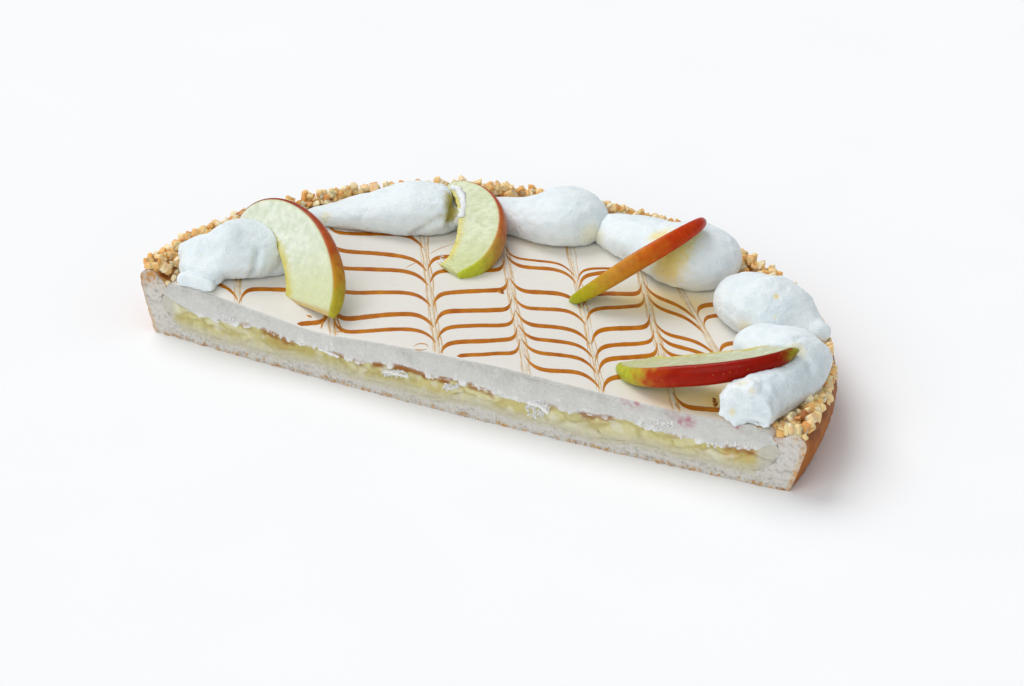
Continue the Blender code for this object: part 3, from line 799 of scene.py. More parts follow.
def ribbonRing(x, y, half, across):  # the points round a strip, or None where it lies off the cream
    ring = []
    for share, lift in feather["section"]:
        px, py = x + across[0] * half * share, y + across[1] * half * share
        z = topOf(creamTree, px, py) if math.hypot(px, py) < feather["edge"] else None
        if z is None or z < creamHeight(px, py) - feather["overCut"]:
            return None
        ring.append(Vector((px, py, z + lift * feather["lift"] * min(1.0, half / 0.5))))
    return ring


def addRibbon(meshData, colours, middles, halves, tints, across):
    # a low rounded strip that follows the cream, broken off where its places lie off it
    runs = [[]]
    for (x, y), half, tint in zip(middles, halves, tints):
        ring = ribbonRing(x, y, half, across)
        if ring:
            runs[-1].append((ring, tint))
        else:
            runs.append([])
    for run in runs:
        if len(run) < 2:
            continue
        made = []
        for i, (ring, tint) in enumerate(run):
            middle = ring[2].lerp(ring[5], 0.5)
            taper = min(1.0, 0.25 * (1 + min(i, len(run) - 1 - i)))  # a strip ends in a soft point
            made.append([meshData.verts.new(place(*middle.lerp(point, taper))) for point in ring])
            colours += [tint] * len(ring)
        for a, b in zip(made, made[1:]):
            for j in range(len(a)):
                k = (j + 1) % len(a)
                meshData.faces.new([a[j], a[k], b[k], b[j]])
        meshData.faces.new(made[0])
        meshData.faces.new(made[-1])


def drawLine(meshData, colours, left, right, v0, rise, width, seed):
    dark, light, thin = (asColour(feather[k]) for k in ("caramel", "light", "thin"))
    start, end = left[0] + left[4] * v0 + 0.2, right[0] + right[4] * v0 - 0.2
    count = round((end - start) / feather["step"])
    middles, halves, tints = [], [], []
    for k in range(count + 1):
        share = 0.5 - 0.5 * math.cos(math.pi * k / count)
        u = start + (end - start) * share
        fromLeft, fromRight = u - start + 0.2, end - u + 0.2
        v = v0 + rise * (share - 0.5) + 0.3 * noise.noise(Vector((u / 6, v0, seed)))
        shift = 0
        for pull, near, reach in ((left, fromLeft, left[3]), (right, fromRight, right[2])):
            moved = pull[1] * feather["pull"] * math.exp(-near / reach)
            v += moved
            shift += pull[4] * moved
        middles.append(strokePlace(u + shift, v))
        near = min(fromLeft, fromRight)
        bead = 1 + 0.10 * noise.noise(Vector((u / 2, v0, seed + 9)))
        halves.append(0.5 * width * bead * (0.4 + 0.6 * blend(near, 0.1, 1.3)))
        tone = between(light, dark, 0.55 + 0.6 * noise.noise(Vector((u / 4, v0 + seed, 5))))
        tints.append(between(thin, tone, 0.25 + 0.75 * blend(near, 0.4, 3.0)))
    addRibbon(meshData, colours, middles, halves, tints, feather["stroke"])


def drawStreaks(meshData, colours, rng, stroke):  # the thin caramel that the knife dragged along
    smear, streak = asColour(feather["smear"]), asColour(feather["streak"])
    low, high = feather["streakReach"]
    for k in range(7):
        offset = 0 if k == 0 else rng.uniform(0.2, 2.2) * (-1) ** k
        half = 0.7 if k == 0 else rng.uniform(0.13, 0.3)
        tint = smear if k == 0 else between(smear, streak, rng.uniform(0.45, 1.0))
        middles, halves = [], []
        for v in np.arange(low, high, feather["streakStep"]):
            spread = 0.75 + 0.5 * noise.noise(Vector((v / 18, stroke[0], k)))
            wander = 0.35 * noise.noise(Vector((v / 7, k, stroke[0])))
            middles.append(strokePlace(stroke[0] + stroke[4] * v + offset * spread + wander, v))
            halves.append(half * (0.8 + 0.9 * noise.noise(Vector((v / 9, k * 3, stroke[0])))))
        addRibbon(meshData, colours, middles, halves, [tint] * len(middles), feather["along"])


def drawFlick(meshData, colours, pixels, width):
    found = [seenAt(creamTree, *pixel) for pixel in pixels]
    if None in found:
        return
    corners = [tuple(p) for p in found]
    middles = [(x, y) for x, y, _ in smoothRun(corners, stepCounts(corners, 0.5))]
    way = Vector(middles[-1]) - Vector(middles[0])
    across = Vector((-way.y, way.x)).normalized()
    count = len(middles)
    halves = [0.5 * width * (0.35 + 0.65 * math.sin(math.pi * (k + 0.5) / count)) for k in range(count)]
    addRibbon(meshData, colours, middles, halves, [linear(feather["thin"])] * count, across)


def makeFeather():
    rng = random.Random(3)
    meshData = bmesh.new()
    colours = []
    strokes = feather["strokes"]
    for stroke in strokes[1:-1]:
        drawStreaks(meshData, colours, rng, stroke)
    for left, right, lines in zip(strokes, strokes[1:], feather["lines"]):
        for v0, rise, *fine in lines:
            width = fine[0] if fine else feather["width"] * rng.uniform(0.88, 1.1)
            drawLine(meshData, colours, left, right, v0, rise, width, rng.uniform(0, 50))
    for pixels, width in feather["flicks"]:
        drawFlick(meshData, colours, pixels, width)
    mesh = closedMesh("caramelLines", meshData)
    addPiece("caramelLines", mesh, colours, 0.0, ["caramel"], "cream_layer")


makeFeather()

# Whipped creams
whipped = {
    "voxel": 0.6,
    "white": "#F0F8FB",
    "shade": "#D8E4E8",
    "juice": "#F8E290",
    "folds": 0.55,
    "wrinkles": 0.28,
    "pits": 0.12,
    # how far each swells past its solid
    "swell": {1: 0.5, 2: 1.1, 3: 0.9, 4: 0.9, 5: 0.5, 6: 0.4},
    # grooves along pixels of the photograph, with width and depth in mm, and bulges, with a depth below zero
    "grooves": {
        1: ((((252, 276), (256, 264), (258, 252)), 1.4, 2.6),
            (((217, 283), (208, 277), (196, 272), (181, 271)), 1.4, 2.2),
            (((202, 245), (214, 240), (228, 236)), 6.0, -2.8)),
        2: ((((412, 232), (426, 226), (441, 217)), 1.3, 1.2), (((346, 220), (339, 229)), 1.2, 0.7),
            (((366, 212), (358, 224)), 1.2, 0.5), (((451, 194), (453, 208), (450, 221)), 2.2, 2.4),
            (((335, 204), (360, 199), (385, 191)), 7.0, 1.8)),
        3: ((((510, 196), (509, 230)), 1.3, 0.9), (((517, 203), (516, 232)), 1.3, 0.8)),
        4: ((((660, 232), (664, 250), (664, 270)), 2.2, 1.2),
            (((612, 222), (604, 240), (606, 252)), 1.4, 0.4)),
        5: ((((738, 334), (751, 331), (770, 330)), 1.8, 1.6), (((822, 318), (818, 330)), 1.5, 0.9)),
        6: ((((812, 373), (809, 361), (799, 350)), 2.0, 1.4),
            (((797, 340), (805, 336), (817, 340)), 1.4, 0.9),
            (((723, 402), (735, 409), (747, 415)), 1.5, 1.0),
            (((732, 392), (751, 401), (765, 415)), 1.3, 0.8),
            (((748, 423), (754, 425)), 2.2, 1.8), (((771, 398), (775, 410), (772, 424)), 1.6, 0.8)),
    },
    # stains of juice and flecks, and on the last cream two patches of painted shade on its right side, each
    # at a pixel, with its reach in mm, strength and own colour
    "stains": {
        3: (((590, 233), 5, 0.3),),
        4: (((674, 250), 8, 0.9), ((668, 268), 7, 0.85), ((686, 236), 6, 0.8), ((660, 236), 5, 0.8),
            ((600, 238), 4, 0.3), ((724, 292), 4, 0.3)),
        5: (((745, 326), 3, 0.35), ((734, 331), 1.1, 1), ((776, 297), 1.3, 0.9), ((775, 318), 1.0, 0.8)),
        # the first two here are painted shade on the right side, the rest are juice and flecks
        6: (((812, 374), 15, 0.5, "#C3D0D4"), ((776, 404), 9, 0.35, "#C8D4D8"), ((751, 391), 1.5, 0.4),
            ((732, 412), 1.4, 0.6), ((797, 349), 4, 0.4), ((742, 384), 3, 0.3)),
        2: (((326, 217), 2.5, 0.35), ((450, 199), 3.6, 1, "#AEA24C"), ((451, 208), 3.8, 1, "#AEA24C"),
            ((450, 216), 3.4, 1, "#B4AA5C")),
        1: (((201, 257), 1.0, 0.4), ((212, 242), 1.0, 0.3)),
    },
    # the last cream's torn end: how far it reaches from the cut, its depth, and as far as which x
    "roughEnd": (10.0, 1.15, 126),
}


def softened(node):  # the solid's mesh with even faces and soft edges
    model = link("softened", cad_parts[node].data.copy())
    model.data.materials.clear()
    even = model.modifiers.new("even", "REMESH")
    even.mode = "VOXEL"
    even.voxel_size = whipped["voxel"] * mm
    soften = model.modifiers.new("soften", "SMOOTH")
    soften.factor = 0.5
    soften.iterations = 20
    mesh = bpy.data.meshes.new_from_object(model.evaluated_get(bpy.context.evaluated_depsgraph_get()))
    bpy.data.objects.remove(model)
    return mesh


def groovePush(points, tree, grooves):  # how far grooves press in and bulges push out
    push = np.zeros(len(points))
    for pixels, width, depth in grooves:
        found = [seenAt(tree, *pixel) for pixel in pixels]
        found = [np.array(spot) for spot in found if spot is not None]
        reach = np.zeros(len(points))
        for a, b in zip(found, found[1:]):
            along = b - a
            share = np.clip((points - a) @ along / max(along @ along, 1e-6), 0, 1)
            gap = np.linalg.norm(points - a - share[:, None] * along, axis=1)
            reach = np.maximum(reach, np.exp(-(gap / width) ** 2))
        push -= depth * reach
    return push


def makeWhipped(number):
    node = f"whipped_cream_{number}"
    mesh = softened(node)
    tree = treeOf(mesh)
    points = np.array([flanPoint(v.co) for v in mesh.vertices])
    normals = np.array([v.normal[:] for v in mesh.vertices])
    seed = number * 10
    warp = warped(points, 14, seed + 1, 3.0)
    broad, folds = cloud(warp, 13, seed + 4), cloud(warp, 6, seed + 5)
    wrinkles = 0.3 - np.abs(cloud(warp * np.array([1.0, 0.5, 0.8]), 3.0, seed + 6))
    pits = -ramp(cloud(points, 1.5, seed + 7), 0.15, 0.6)
    crease = 0.25 - np.abs(folds)
    push = whipped["swell"][number] + whipped["folds"] * (0.8 * broad + 0.8 * crease)
    push += whipped["wrinkles"] * wrinkles + whipped["pits"] * pits
    push += groovePush(points, tree, whipped["grooves"][number])
    if number == 6:
        reach, depth, farthest = whipped["roughEnd"]
        torn = (1 - ramp(points[:, 1], reach * 0.3, reach)) * (points[:, 0] < farthest)
        push += torn * depth * (1.2 * cloud(warp, 3.6, 90) + 0.5 * cloud(warp, 1.8, 91))
    points += normals * push[:, None]
    for vert, point in zip(mesh.vertices, points):
        vert.co = place(*point)
    mesh.update()
    speckle = cloud(points, 1.8, seed + 8)
    # painted shade in the hollows between folds, with a broad tone that varies at random
    hollowShade = ramp(0.5 * broad - 0.7 * crease, -0.4, 0.6)
    colours = mixColours(whipped["white"], whipped["shade"], hollowShade * 0.5)
    # stains of juice and flecks, and the patches of painted shade listed with them
    for pixel, reach, strength, *own in whipped["stains"][number]:
        spot = seenAt(tree, *pixel)
        if spot is not None:
            tone = own[0] if own else whipped["juice"]
            spread = np.exp(-np.sum((points - np.array(spot)) ** 2, axis=1) / reach ** 2)
            colours = mixColours(colours, tone, strength * ramp(spread + 0.2 * speckle, 0.05, 0.9))
    mesh = smoothed(mesh, 180)
    return addPiece(f"pipedCream_{number}", mesh, colours, 0.0, ["whipped"], "whipped_cream", node)


whippedPieces = [makeWhipped(number) for number in range(1, 7)]

# Apple slices, in the solids' places: tips, the way the skin bulges, sizes, and the core's bite
slices = {
    "apple_slice_1": {
        "tips": ((-120, 42, 34), (-54.5, 2, 25)), "bulge": (0.37, 0.46, 0.81), "width": 22.5,
        "thickness": 8.5, "swell": (0.3, 1.15, 2.0), "bite": ((-30, -2), (9.5, -8.2)), "arch": 8.2,
        "sink": (0.0, 2.2), "browned": 0.7, "skinStart": 0.95, "flesh": ("#DCE4CC", "#F0F4E6", "#D9DDA6"),
        "skin": ((0, "#8E2408"), (0.4, "#98280C"), (0.66, "#B4541C"), (0.78, "#C08A28"), (0.88, "#B8A42E"),
                 (1, "#B4AC30"))},
    "apple_slice_2": {
        "tips": ((-60, 106, 36), (-28.5, 55, 26)), "bulge": (0.83, 0.53, 0.1), "width": 21.0,
        "thickness": 9.5, "swell": (0.9, 1.1, 1.0), "bite": ((-27, -3), (21, -7)), "arch": 7.0,
        "sink": (0.0, 1.8), "flesh": ("#C9D0A6", "#DCE2C4", "#C8CE8A"),
        "skin": ((0, "#9C2A0C"), (0.4, "#B04418"), (0.6, "#BC6A30"), (0.76, "#C29E44"), (0.88, "#C4C83C"),
                 (1, "#C2CC38"))},
    "apple_slice_3": {
        "tips": ((17.5, 58, 26), (54.5, 102, 49)), "bulge": (0.42, -0.80, 0.43), "width": 20.0,
        "thickness": 7.5, "swell": (1.0, 1.0, 1.0), "bite": ((-20, -6), (20, -6)), "arch": 8.0,
        "sink": (1.5, 0.0), "flesh": ("#D9DDB4", "#E9ECD4", "#D6D896"),
        "skin": ((0, "#A8B818"), (0.16, "#B4B020"), (0.32, "#CC9430"), (0.5, "#CC6A1A"), (0.66, "#C63E0A"),
                 (0.9, "#B82A06"), (1, "#6A1C0C"))},
    "apple_slice_4": {
        "tips": ((57, 19.5, 27), (125, 28.5, 44)), "bulge": (0.47, -0.91, 0.17), "width": 22.5,
        "thickness": 8.5, "swell": (1.0, 1.0, 1.0), "bite": ((-20, -6), (20, -6)), "arch": 8.0,
        "sink": (1.8, 0.0), "flesh": ("#C9CCA2", "#DADCC0", "#C6CA86"),
        "skin": ((0, "#A8B420"), (0.23, "#B8B832"), (0.3, "#C08A2C"), (0.36, "#B03C10"),
                 (0.45, "#9E1C04"), (0.6, "#961200"), (0.86, "#8A1404"), (0.94, "#8A6414"),
                 (1, "#9A9A20"))},
}
sliceLook = {
    "core": "#DCCB50",
    "rind": "#CDA04A",  # where a tip has browned and taken up caramel
    "coreReach": 0.2,  # the share of the way to the skin that the core takes
    "arcShare": 0.985,  # the slice's arc stops just short of its points
    "dish": 0.35,  # how hollow the cut sides are
    "streaks": 0.10,
    "rough": 0.16,
    "lengthSteps": 110,
    "fleshSteps": 24,
    "skinSteps": 14,
    "skinStart": 0.87,
    "spread": (0.42, 0.97),  # the section's half width at the core and at the skin
    "tipRound": 0.07,  # the share of the length over which a tip thins out
}


def crossSection(start):  # share of the way from the core to the skin, spread, and whether it is skin
    inner, edge = sliceLook["spread"]
    side = []
    for k in range(sliceLook["fleshSteps"]):
        share = k / sliceLook["fleshSteps"]
        side.append((share * start, inner + (edge - inner) * share, False))
    arc = []
    for k in range(sliceLook["skinSteps"] + 1):
        turn = math.pi * (0.5 - k / sliceLook["skinSteps"])
        arc.append((start + (1 - start) * math.cos(turn), edge * math.sin(turn), True))
    back = [(share, -spread, False) for share, spread, _ in reversed(side)]
    return side + arc + back


def makeSlice(node, spec):
    start, end = Vector(spec["tips"][0]), Vector(spec["tips"][1])
    along = (end - start).normalized()
    bulge = Vector(spec["bulge"])
    bulge = (bulge - along * bulge.dot(along)).normalized()
    across = along.cross(bulge)
    middle, half = (start + end) / 2, (end - start).length / 2
    skinStart = spec.get("skinStart", sliceLook["skinStart"])
    section = crossSection(skinStart)
    steps = sliceLook["lengthSteps"]
    seed = int(node[-1]) * 20
    thin, full, lateness = spec["swell"]
    meshData = bmesh.new()
    rings, info = [], []
    for k in range(steps + 1):
        turn = math.pi * (k / steps - 0.5) * sliceLook["arcShare"]
        outer = Vector((half * math.sin(turn), spec["width"] * math.cos(turn)))
        rise = (1 + math.sin(turn)) / 2
        corner = Vector(spec["bite"][0]).lerp(Vector(spec["bite"][1]), rise)
        inner = Vector((corner.x, corner.y + spec["arch"] * math.cos(turn)))
        taper = (0.42 + 0.58 * math.cos(turn)) * (thin + (full - thin) * rise ** lateness)
        taper *= math.sqrt(min(1.0, (0.02 + min(k, steps - k) / steps) / sliceLook["tipRound"]))
        drop = spec["sink"][0] * (1 - blend(rise, 0.0, 0.5)) + spec["sink"][1] * blend(rise, 0.5, 1.0)
        ring = []
        for share, spread, isSkin in section:
            flat = inner.lerp(outer, share)
            point = (middle + along * flat.x + bulge * flat.y
                     + across * (spread * spec["thickness"] / 2 * taper))
            # cells run from the core to the skin, so the streaks are long that way
            streak = noise.noise(Vector((flat.x / 2.0, share * 2.6, seed + (spread > 0))))
            rough = noise.noise(point / 3.0 + Vector((seed, 0, 0))) + 0.5 * noise.noise(point / 1.3)
            if not isSkin:
                dish = -sliceLook["dish"] * math.sin(math.pi * min(1, share / skinStart)) * taper
                edge = max(0.0, 1 - share / sliceLook["coreReach"])
                cells = sliceLook["streaks"] * streak + sliceLook["rough"] * rough * (1 + 1.5 * edge)
                point += across * math.copysign(1, spread) * (dish + cells)
                point += bulge * (0.5 * rough * edge)
            point.z -= drop
            ring.append(meshData.verts.new(point))
            info.append((share, isSkin, k / steps, streak, rough))
        rings.append(ring)
    count = len(section)
    skinIndex = 1  # the skin is the second material
    for left, right in zip(rings, rings[1:]):
        for j in range(count):
            face = meshData.faces.new([left[j], left[(j + 1) % count], right[(j + 1) % count], right[j]])
            if section[j][2] and section[(j + 1) % count][2]:
                face.material_index = skinIndex
    meshData.faces.new(rings[0]).material_index = skinIndex
    meshData.faces.new(list(reversed(rings[-1]))).material_index = skinIndex
    lowest = min(vert.co.z for vert in meshData.verts)
    raised = flanPoint(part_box(node)[0]).z - min(spec["sink"]) - lowest - max(spec["sink"])
    for vert in meshData.verts:
        vert.co = place(vert.co.x, vert.co.y, vert.co.z + raised)
    name = node.replace("apple_slice", "appleSlice")
    mesh = closedMesh(name, meshData, 35)
    return addPiece(name, mesh, sliceColours(spec, info), 0.5, ["flesh", "skin"], "apple_slice", node)


def sliceColours(spec, info):
    flesh, pale, green = (asColour(tone) for tone in spec["flesh"])
    core, rind = asColour(sliceLook["core"]), asColour(sliceLook["rind"])
    stops = [(t, asColour(tone)) for t, tone in spec["skin"]]
    endIsLow = spec["sink"][1] > 0  # the end that lies on the cream is the greener one
    skinStart = spec.get("skinStart", sliceLook["skinStart"])
    colours = []
    for share, isSkin, t, streak, rough in info:
        if isSkin:
            t = min(1.0, max(0.0, t + 0.05 * rough + 0.02 * streak))
            for (t0, c0), (t1, c1) in zip(stops, stops[1:]):
                if t <= t1:
                    colours.append(between(c0, c1, (t - t0) / (t1 - t0)))
                    break
            continue
        low = t if endIsLow else 1 - t
        colour = between(flesh, pale, min(1, max(0, 0.4 + 0.5 * streak + 1.2 * rough)))
        colour = between(colour, green, 0.75 * blend(low, 0.55, 0.9) + 0.2 * max(0, rough))
        colour = between(colour, core, 0.8 * (1 - blend(share + 0.06 * rough, 0.01, sliceLook["coreReach"])))
        colour = between(colour, green, 0.8 * blend(share, skinStart - 0.1, skinStart))
        colours.append(between(colour, rind, spec.get("browned", 0) * blend(low, 0.955, 0.99)))
    return np.array(colours)


slicePieces = [makeSlice(node, spec) for node, spec in slices.items()]

toppingTrees = [treeOf(piece.data) for piece in whippedPieces + slicePieces]  # what nuts and bits lie against

# Chopped nuts on the rim
nuts = {
    "seed": 11,  # of the random draws
    "kinds": 18,
    "count": 1550,
    "size": (1.3, 2.2),
    "band": (126.6, 139.6),
    "behindCut": 1.6,
    "blockedWithin": 14,  # a nut inside a cream or slice this near is left out
    "heap": (3.2, 4.5),  # how far nuts rise over the rim, at its ends and at the back on the left
    "tones": (("#FFEDC6", 0.34), ("#FFDCA2", 0.36), ("#F9C67E", 0.2), ("#E4A258", 0.08), ("#B5713A", 0.02)),
    "browned": "#F0B266",
    "rowsKept": 60,  # how many nuts before it each one is piled against
}


def nutKinds(rng):  # small chopped chunks: the hull of a box with its corners shifted and its edges rubbed
    kinds = []
    for _ in range(nuts["kinds"]):
        meshData = bmesh.new()
        stretch = Vector((rng.uniform(0.7, 1.0), rng.uniform(0.55, 0.8), rng.uniform(0.45, 0.65)))
        for i in range(8):
            corner = Vector((1 if i & 1 else -1, 1 if i & 2 else -1, 1 if i & 4 else -1))
            corner += Vector([rng.uniform(-0.45, 0.3) for _ in range(3)]) * corner[rng.randrange(3)]
            meshData.verts.new(corner * stretch)
        for _ in range(2):
            way = Vector([rng.gauss(0, 1) for _ in range(3)]).normalized()
            meshData.verts.new(way * stretch * 1.5)
        hull = bmesh.ops.convex_hull(meshData, input=meshData.verts)
        inner = [part for part in hull["geom_interior"] if isinstance(part, bmesh.types.BMVert)]
        bmesh.ops.delete(meshData, geom=inner)
        bmesh.ops.dissolve_limit(meshData, angle_limit=math.radians(16), verts=meshData.verts,
                                 edges=meshData.edges)
        bmesh.ops.bevel(meshData, geom=list(meshData.edges), offset=0.12, segments=1, affect="EDGES",
                        clamp_overlap=True)
        bmesh.ops.triangulate(meshData, faces=meshData.faces)
        bmesh.ops.recalc_face_normals(meshData, faces=meshData.faces)
        meshData.normal_update()
        skinSide = Vector([rng.gauss(0, 1) for _ in range(3)]).normalized()
        browned = np.array([blend(v.normal.dot(skinSide), 0.1, 0.75) for v in meshData.verts])
        faces = [tuple(v.index for v in f.verts) for f in meshData.faces]
        kinds.append(([v.co.copy() for v in meshData.verts], faces, browned))
        meshData.free()
    return kinds


def makeNuts():
    rng = random.Random(nuts["seed"])
    kinds = nutKinds(rng)
    vertices, faces, colours, wet, centres = [], [], [], [], []
    browned = asColour(nuts["browned"])
    low, high = nuts["band"]
    for k in range(nuts["count"]):
        angle = math.pi * (k + rng.random()) / nuts["count"]
        # every third nut lies on the outer half, so that the edge stays full
        distance = rng.uniform((low + high) / 2, high) if k % 3 == 0 else rng.uniform(low, high)
        size = rng.uniform(*nuts["size"])
        x, y = distance * math.cos(angle), max(nuts["behindCut"], distance * math.sin(angle))
        points, kindFaces, skin = kinds[rng.randrange(len(kinds))]
        turn = Euler([rng.uniform(0, math.tau) for _ in range(3)]).to_matrix()
        tone = rng.choices([t for t, _ in nuts["tones"]], [w for _, w in nuts["tones"]])[0]
        gloss = rng.uniform(0.2, 1.0)
        tops = [top for top in (topOf(crustTree, x, y), topOf(creamTree, x, y)) if top is not None]
        base = max(tops, default=rimHeight(angle) - 2.5)
        centre = Vector((x, y, base + size * 0.35))
        for other, otherSize in centres[-nuts["rowsKept"]:]:
            if math.hypot(other.x - centre.x, other.y - centre.y) < 0.5 * (size + otherSize):
                centre.z = max(centre.z, other.z + 0.55 * otherSize)
        back = blend(math.degrees(angle), 95, 115) * (1 - blend(math.degrees(angle), 155, 170))
        heap = nuts["heap"][0] + (nuts["heap"][1] - nuts["heap"][0]) * back
        if centre.z > rimHeight(angle) + heap - 0.35 * max(0.0, distance - 134):
            continue
        spot = place(*centre)
        hidden = False
        for tree in toppingTrees:
            near, normal, _, distanceTo = tree.find_nearest(spot)
            if distanceTo < size * 0.25 * mm or (spot - near).dot(normal) < 0:
                hidden = hidden or distanceTo < nuts["blockedWithin"] * mm
        if hidden:
            continue
        centres.append((centre, size))
        moved = [centre + turn @ (point * size) for point in points]
        shades = [0.6 * isSkin + 0.35 * noise.noise(p / 2.5) for p, isSkin in zip(moved, skin)]
        colour = asColour(tone)
        tones = [between(colour, browned, min(1.0, max(0.0, shade))) for shade in shades]
        addShape(vertices, faces, colours, [place(*p) for p in moved], kindFaces, tones)
        wet += [gloss] * len(points)
    mesh = listedMesh("choppedNuts", vertices, faces, 32)
    addPiece("choppedNuts", mesh, colours, wet, ["nut"], "crust")


makeNuts()

# Small loose bits: torn cream, toasted crumbs and specks of caramel
looseBits = {
    "tornCream": {
        "slot": "cream_layer", "finish": "vanilla", "size": (0.35, 0.85), "tones": ("#F8F7F4", "#E8E6E1"),
        # boxes of pixels of the photograph, and how many bits lie in each
        "boxes": (((217, 238), (315, 322), 40), ((383, 408), (369, 377), 60), ((443, 459), (382, 390), 40),
                  ((526, 549), (400, 417), 130), ((640, 676), (420, 430), 50), ((706, 758), (441, 448), 30)),
        # torn edges, each along pixels, with their thickness in mm
        "edges": ((((318, 348), (328, 352), (340, 357)), 1.4),
                  (((383, 371), (396, 373), (409, 377)), 1.5), (((527, 402), (540, 406), (549, 414)), 1.8)),
    },
    "tornWhipped": {
        "slot": "whipped_cream", "finish": "whipped", "size": (0.4, 0.8), "tones": ("#F8FCFD", "#F0F6F8"),
        "boxes": (((440, 444), (255, 261), 5),),
        "edges": ((((450, 188), (458, 190), (462, 198), (463, 208), (460, 217), (456, 226)), 2.6),
                  (((440, 253), (441, 259), (446, 264)), 1.1)),
    },
    "caramelSpecks": {
        "slot": "cream_layer", "finish": "caramel", "size": (0.5, 1.0), "tones": ("#8A4A10", "#A86A24"),
        "boxes": (((712, 719), (399, 407), 7), ((499, 503), (291, 294), 3)),
    },
    "toastedCrumbs": {
        "slot": "crust", "finish": "crust", "size": (0.3, 0.75), "tones": ("#DDD8CE", "#D9AA62"),
        "alongCut": 260,
    },
}


def seenOn(trees, px, py):  # the nearest point under a pixel, on any of the pieces
    found = [spot for spot in (seenAt(tree, px, py) for tree in trees) if spot is not None]
    return max(found, key=lambda spot: spot.dot(cameraBack()), default=None)


def addTornEdge(vertices, faces, colours, spots, thickness, tones):  # a ragged strip through the spots
    corners = [tuple(spot) for spot in spots if spot is not None]
    if len(corners) < 2:
        return
    path = [Vector(p) for p in smoothRun(corners, stepCounts(corners, 0.35))]
    back, sides = cameraBack(), 8
    points, shades = [], []
    for k, spot in enumerate(path):
        way = (path[min(k + 1, len(path) - 1)] - path[max(k - 1, 0)]).normalized()
        across = way.cross(back).normalized()
        end = min(1.0, 0.15 + 0.3 * min(k, len(path) - 1 - k))
        for i in range(sides):
            turn = math.tau * i / sides
            ragged = 0.95 + 0.9 * noise.noise(Vector((k * 0.16, i * 0.7, thickness * 7 + corners[0][0])))
            reach = 0.5 * thickness * end * max(0.15, ragged)
            point = spot + across * (math.cos(turn) * reach) + back * (math.sin(turn) * reach * 0.6 + 0.1)
            points.append(place(*point))
            shades.append(between(*tones, min(1.0, max(0.0, 0.5 - ragged))))
    rows = [[k * sides + i for i in range(sides)] for k in range(len(path))]
    stripFaces = []
    for row, after in zip(rows, rows[1:]):
        for i in range(sides):
            stripFaces.append((row[i], row[(i + 1) % sides], after[(i + 1) % sides], after[i]))
    stripFaces += [tuple(reversed(rows[0])), tuple(rows[-1])]
    addShape(vertices, faces, colours, points, stripFaces, shades)


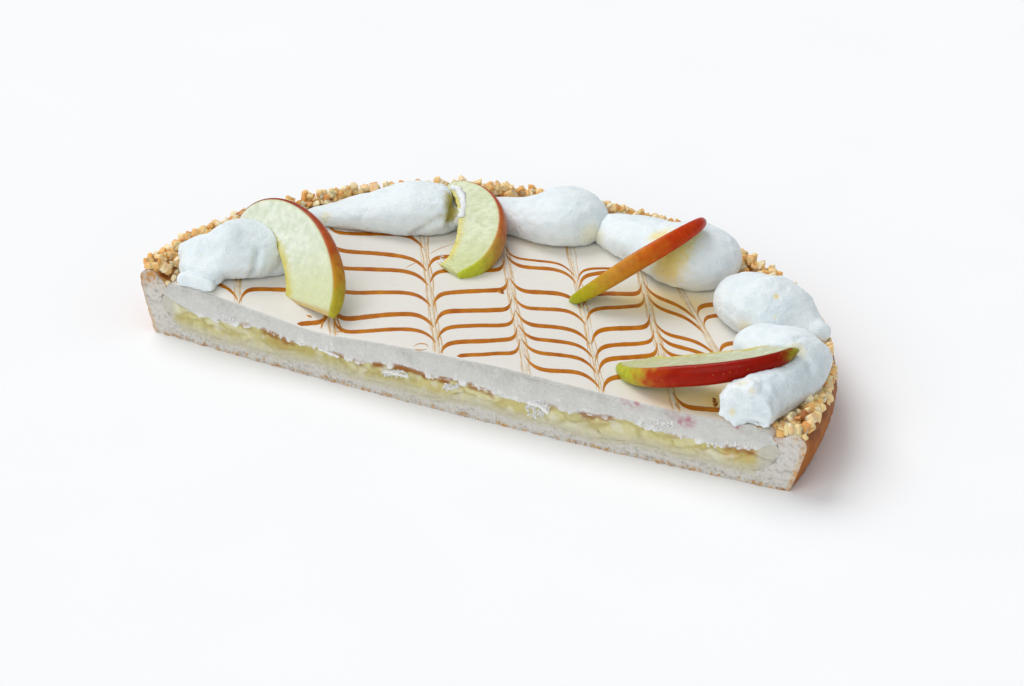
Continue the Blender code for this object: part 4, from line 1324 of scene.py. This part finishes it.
def makeLooseBits(name, spec, trees):
    rng = random.Random(len(name))
    spots = []
    for across, down, count in spec.get("boxes", ()):
        for _ in range(count):
            turn, reach = rng.uniform(0, math.tau), math.sqrt(rng.random())
            px = (across[0] + across[1]) / 2 + (across[1] - across[0]) / 2 * reach * math.cos(turn)
            py = (down[0] + down[1]) / 2 + (down[1] - down[0]) / 2 * reach * math.sin(turn)
            spots.append(seenOn(trees, px, py))
    for _ in range(spec.get("alongCut", 0)):
        x = rng.uniform(-1, 1) * (flan["baseRadius"] - 0.5)
        spots.append(Vector((x, bowed(x, 0), rng.uniform(0.3, 1.0) + 1.2 * rng.random() ** 3)))
    ball = bmesh.new()
    bmesh.ops.create_icosphere(ball, subdivisions=2, radius=1.0)
    shape = [v.co.copy() for v in ball.verts]
    ballFaces = [tuple(v.index for v in f.verts) for f in ball.faces]
    ball.free()
    tones = [asColour(tone) for tone in spec["tones"]]
    vertices, faces, colours = [], [], []
    for number, spot in enumerate(spots):
        if spot is None:
            continue
        size = rng.uniform(*spec["size"])
        turn = Euler([rng.uniform(0, math.tau) for _ in range(3)]).to_matrix()
        stretch = Vector((rng.uniform(0.8, 1.4), rng.uniform(0.6, 1.0), rng.uniform(0.5, 0.9)))
        tone = between(*tones, rng.random())
        sunk = spot - cameraBack() * 0.35 * size
        points = []
        for point in shape:
            rough = 1 + 0.9 * noise.noise(point * 1.9 + Vector((number, 0, 0)))
            moved = sunk + turn @ (point * stretch) * size * rough
            points.append(place(moved.x, moved.y, max(0.02, moved.z)))
        addShape(vertices, faces, colours, points, ballFaces, [tone] * len(points))
    for pixels, thickness in spec.get("edges", ()):
        addTornEdge(vertices, faces, colours, [seenOn(trees, *pixel) for pixel in pixels], thickness, tones)
    addPiece(name, listedMesh(name, vertices, faces), colours, 0.0, [spec["finish"]], spec["slot"])


layerTrees = [creamTree, crustTree, treeOf(fillingPiece.data)]
for bitsName, bitsSpec in looseBits.items():
    makeLooseBits(bitsName, bitsSpec, toppingTrees + layerTrees)

# Floor, light and camera
def makeFloor():
    meshData = bmesh.new()
    bmesh.ops.create_grid(meshData, x_segments=8, y_segments=8, size=studio["floorSide"] / 2)
    mesh = bpy.data.meshes.new("studioFloor")
    meshData.to_mesh(mesh)
    meshData.free()
    mesh.materials.append(finishes["board"])
    link("studioFloor", mesh)


def addLamp(name, spot, strength, spread):  # a far, wide softbox, so its light is even over the floor
    light = bpy.data.lights.new(name, "SUN")
    light.energy = strength
    light.angle = math.radians(spread)
    lamp = link(name, light)
    lamp.location = spot
    lamp.rotation_euler = (-Vector(spot)).to_track_quat("-Z", "Y").to_euler()


def makeCamera():
    data = bpy.data.cameras.new("studioCamera")
    data.lens = studio["lens"]
    data.sensor_width = studio["sensor"]
    data.clip_start = 0.01
    camera = link("studioCamera", data)
    camera.location = place(*studio["target"]) + cameraBack() * studio["distance"] * mm
    camera.rotation_euler = cameraBack().to_track_quat("Z", "Y").to_euler()
    bpy.context.scene.camera = camera


def makeWorld():
    world = bpy.data.worlds.new("studioAir")
    world.use_nodes = True
    background = world.node_tree.nodes["Background"]
    background.inputs["Color"].default_value = (*linear(studio["airTone"]), 1)
    background.inputs["Strength"].default_value = studio["airStrength"]
    bpy.context.scene.world = world


makeFloor()
makeCamera()
makeWorld()
addLamp("leftSoftbox", (-0.7, 0.3, 1.0), 1.45, 38)
addLamp("frontSoftbox", (-0.1, -1.1, 0.85), 0.9, 50)
bpy.context.scene.view_settings.view_transform = "Standard"

print("scene ready")
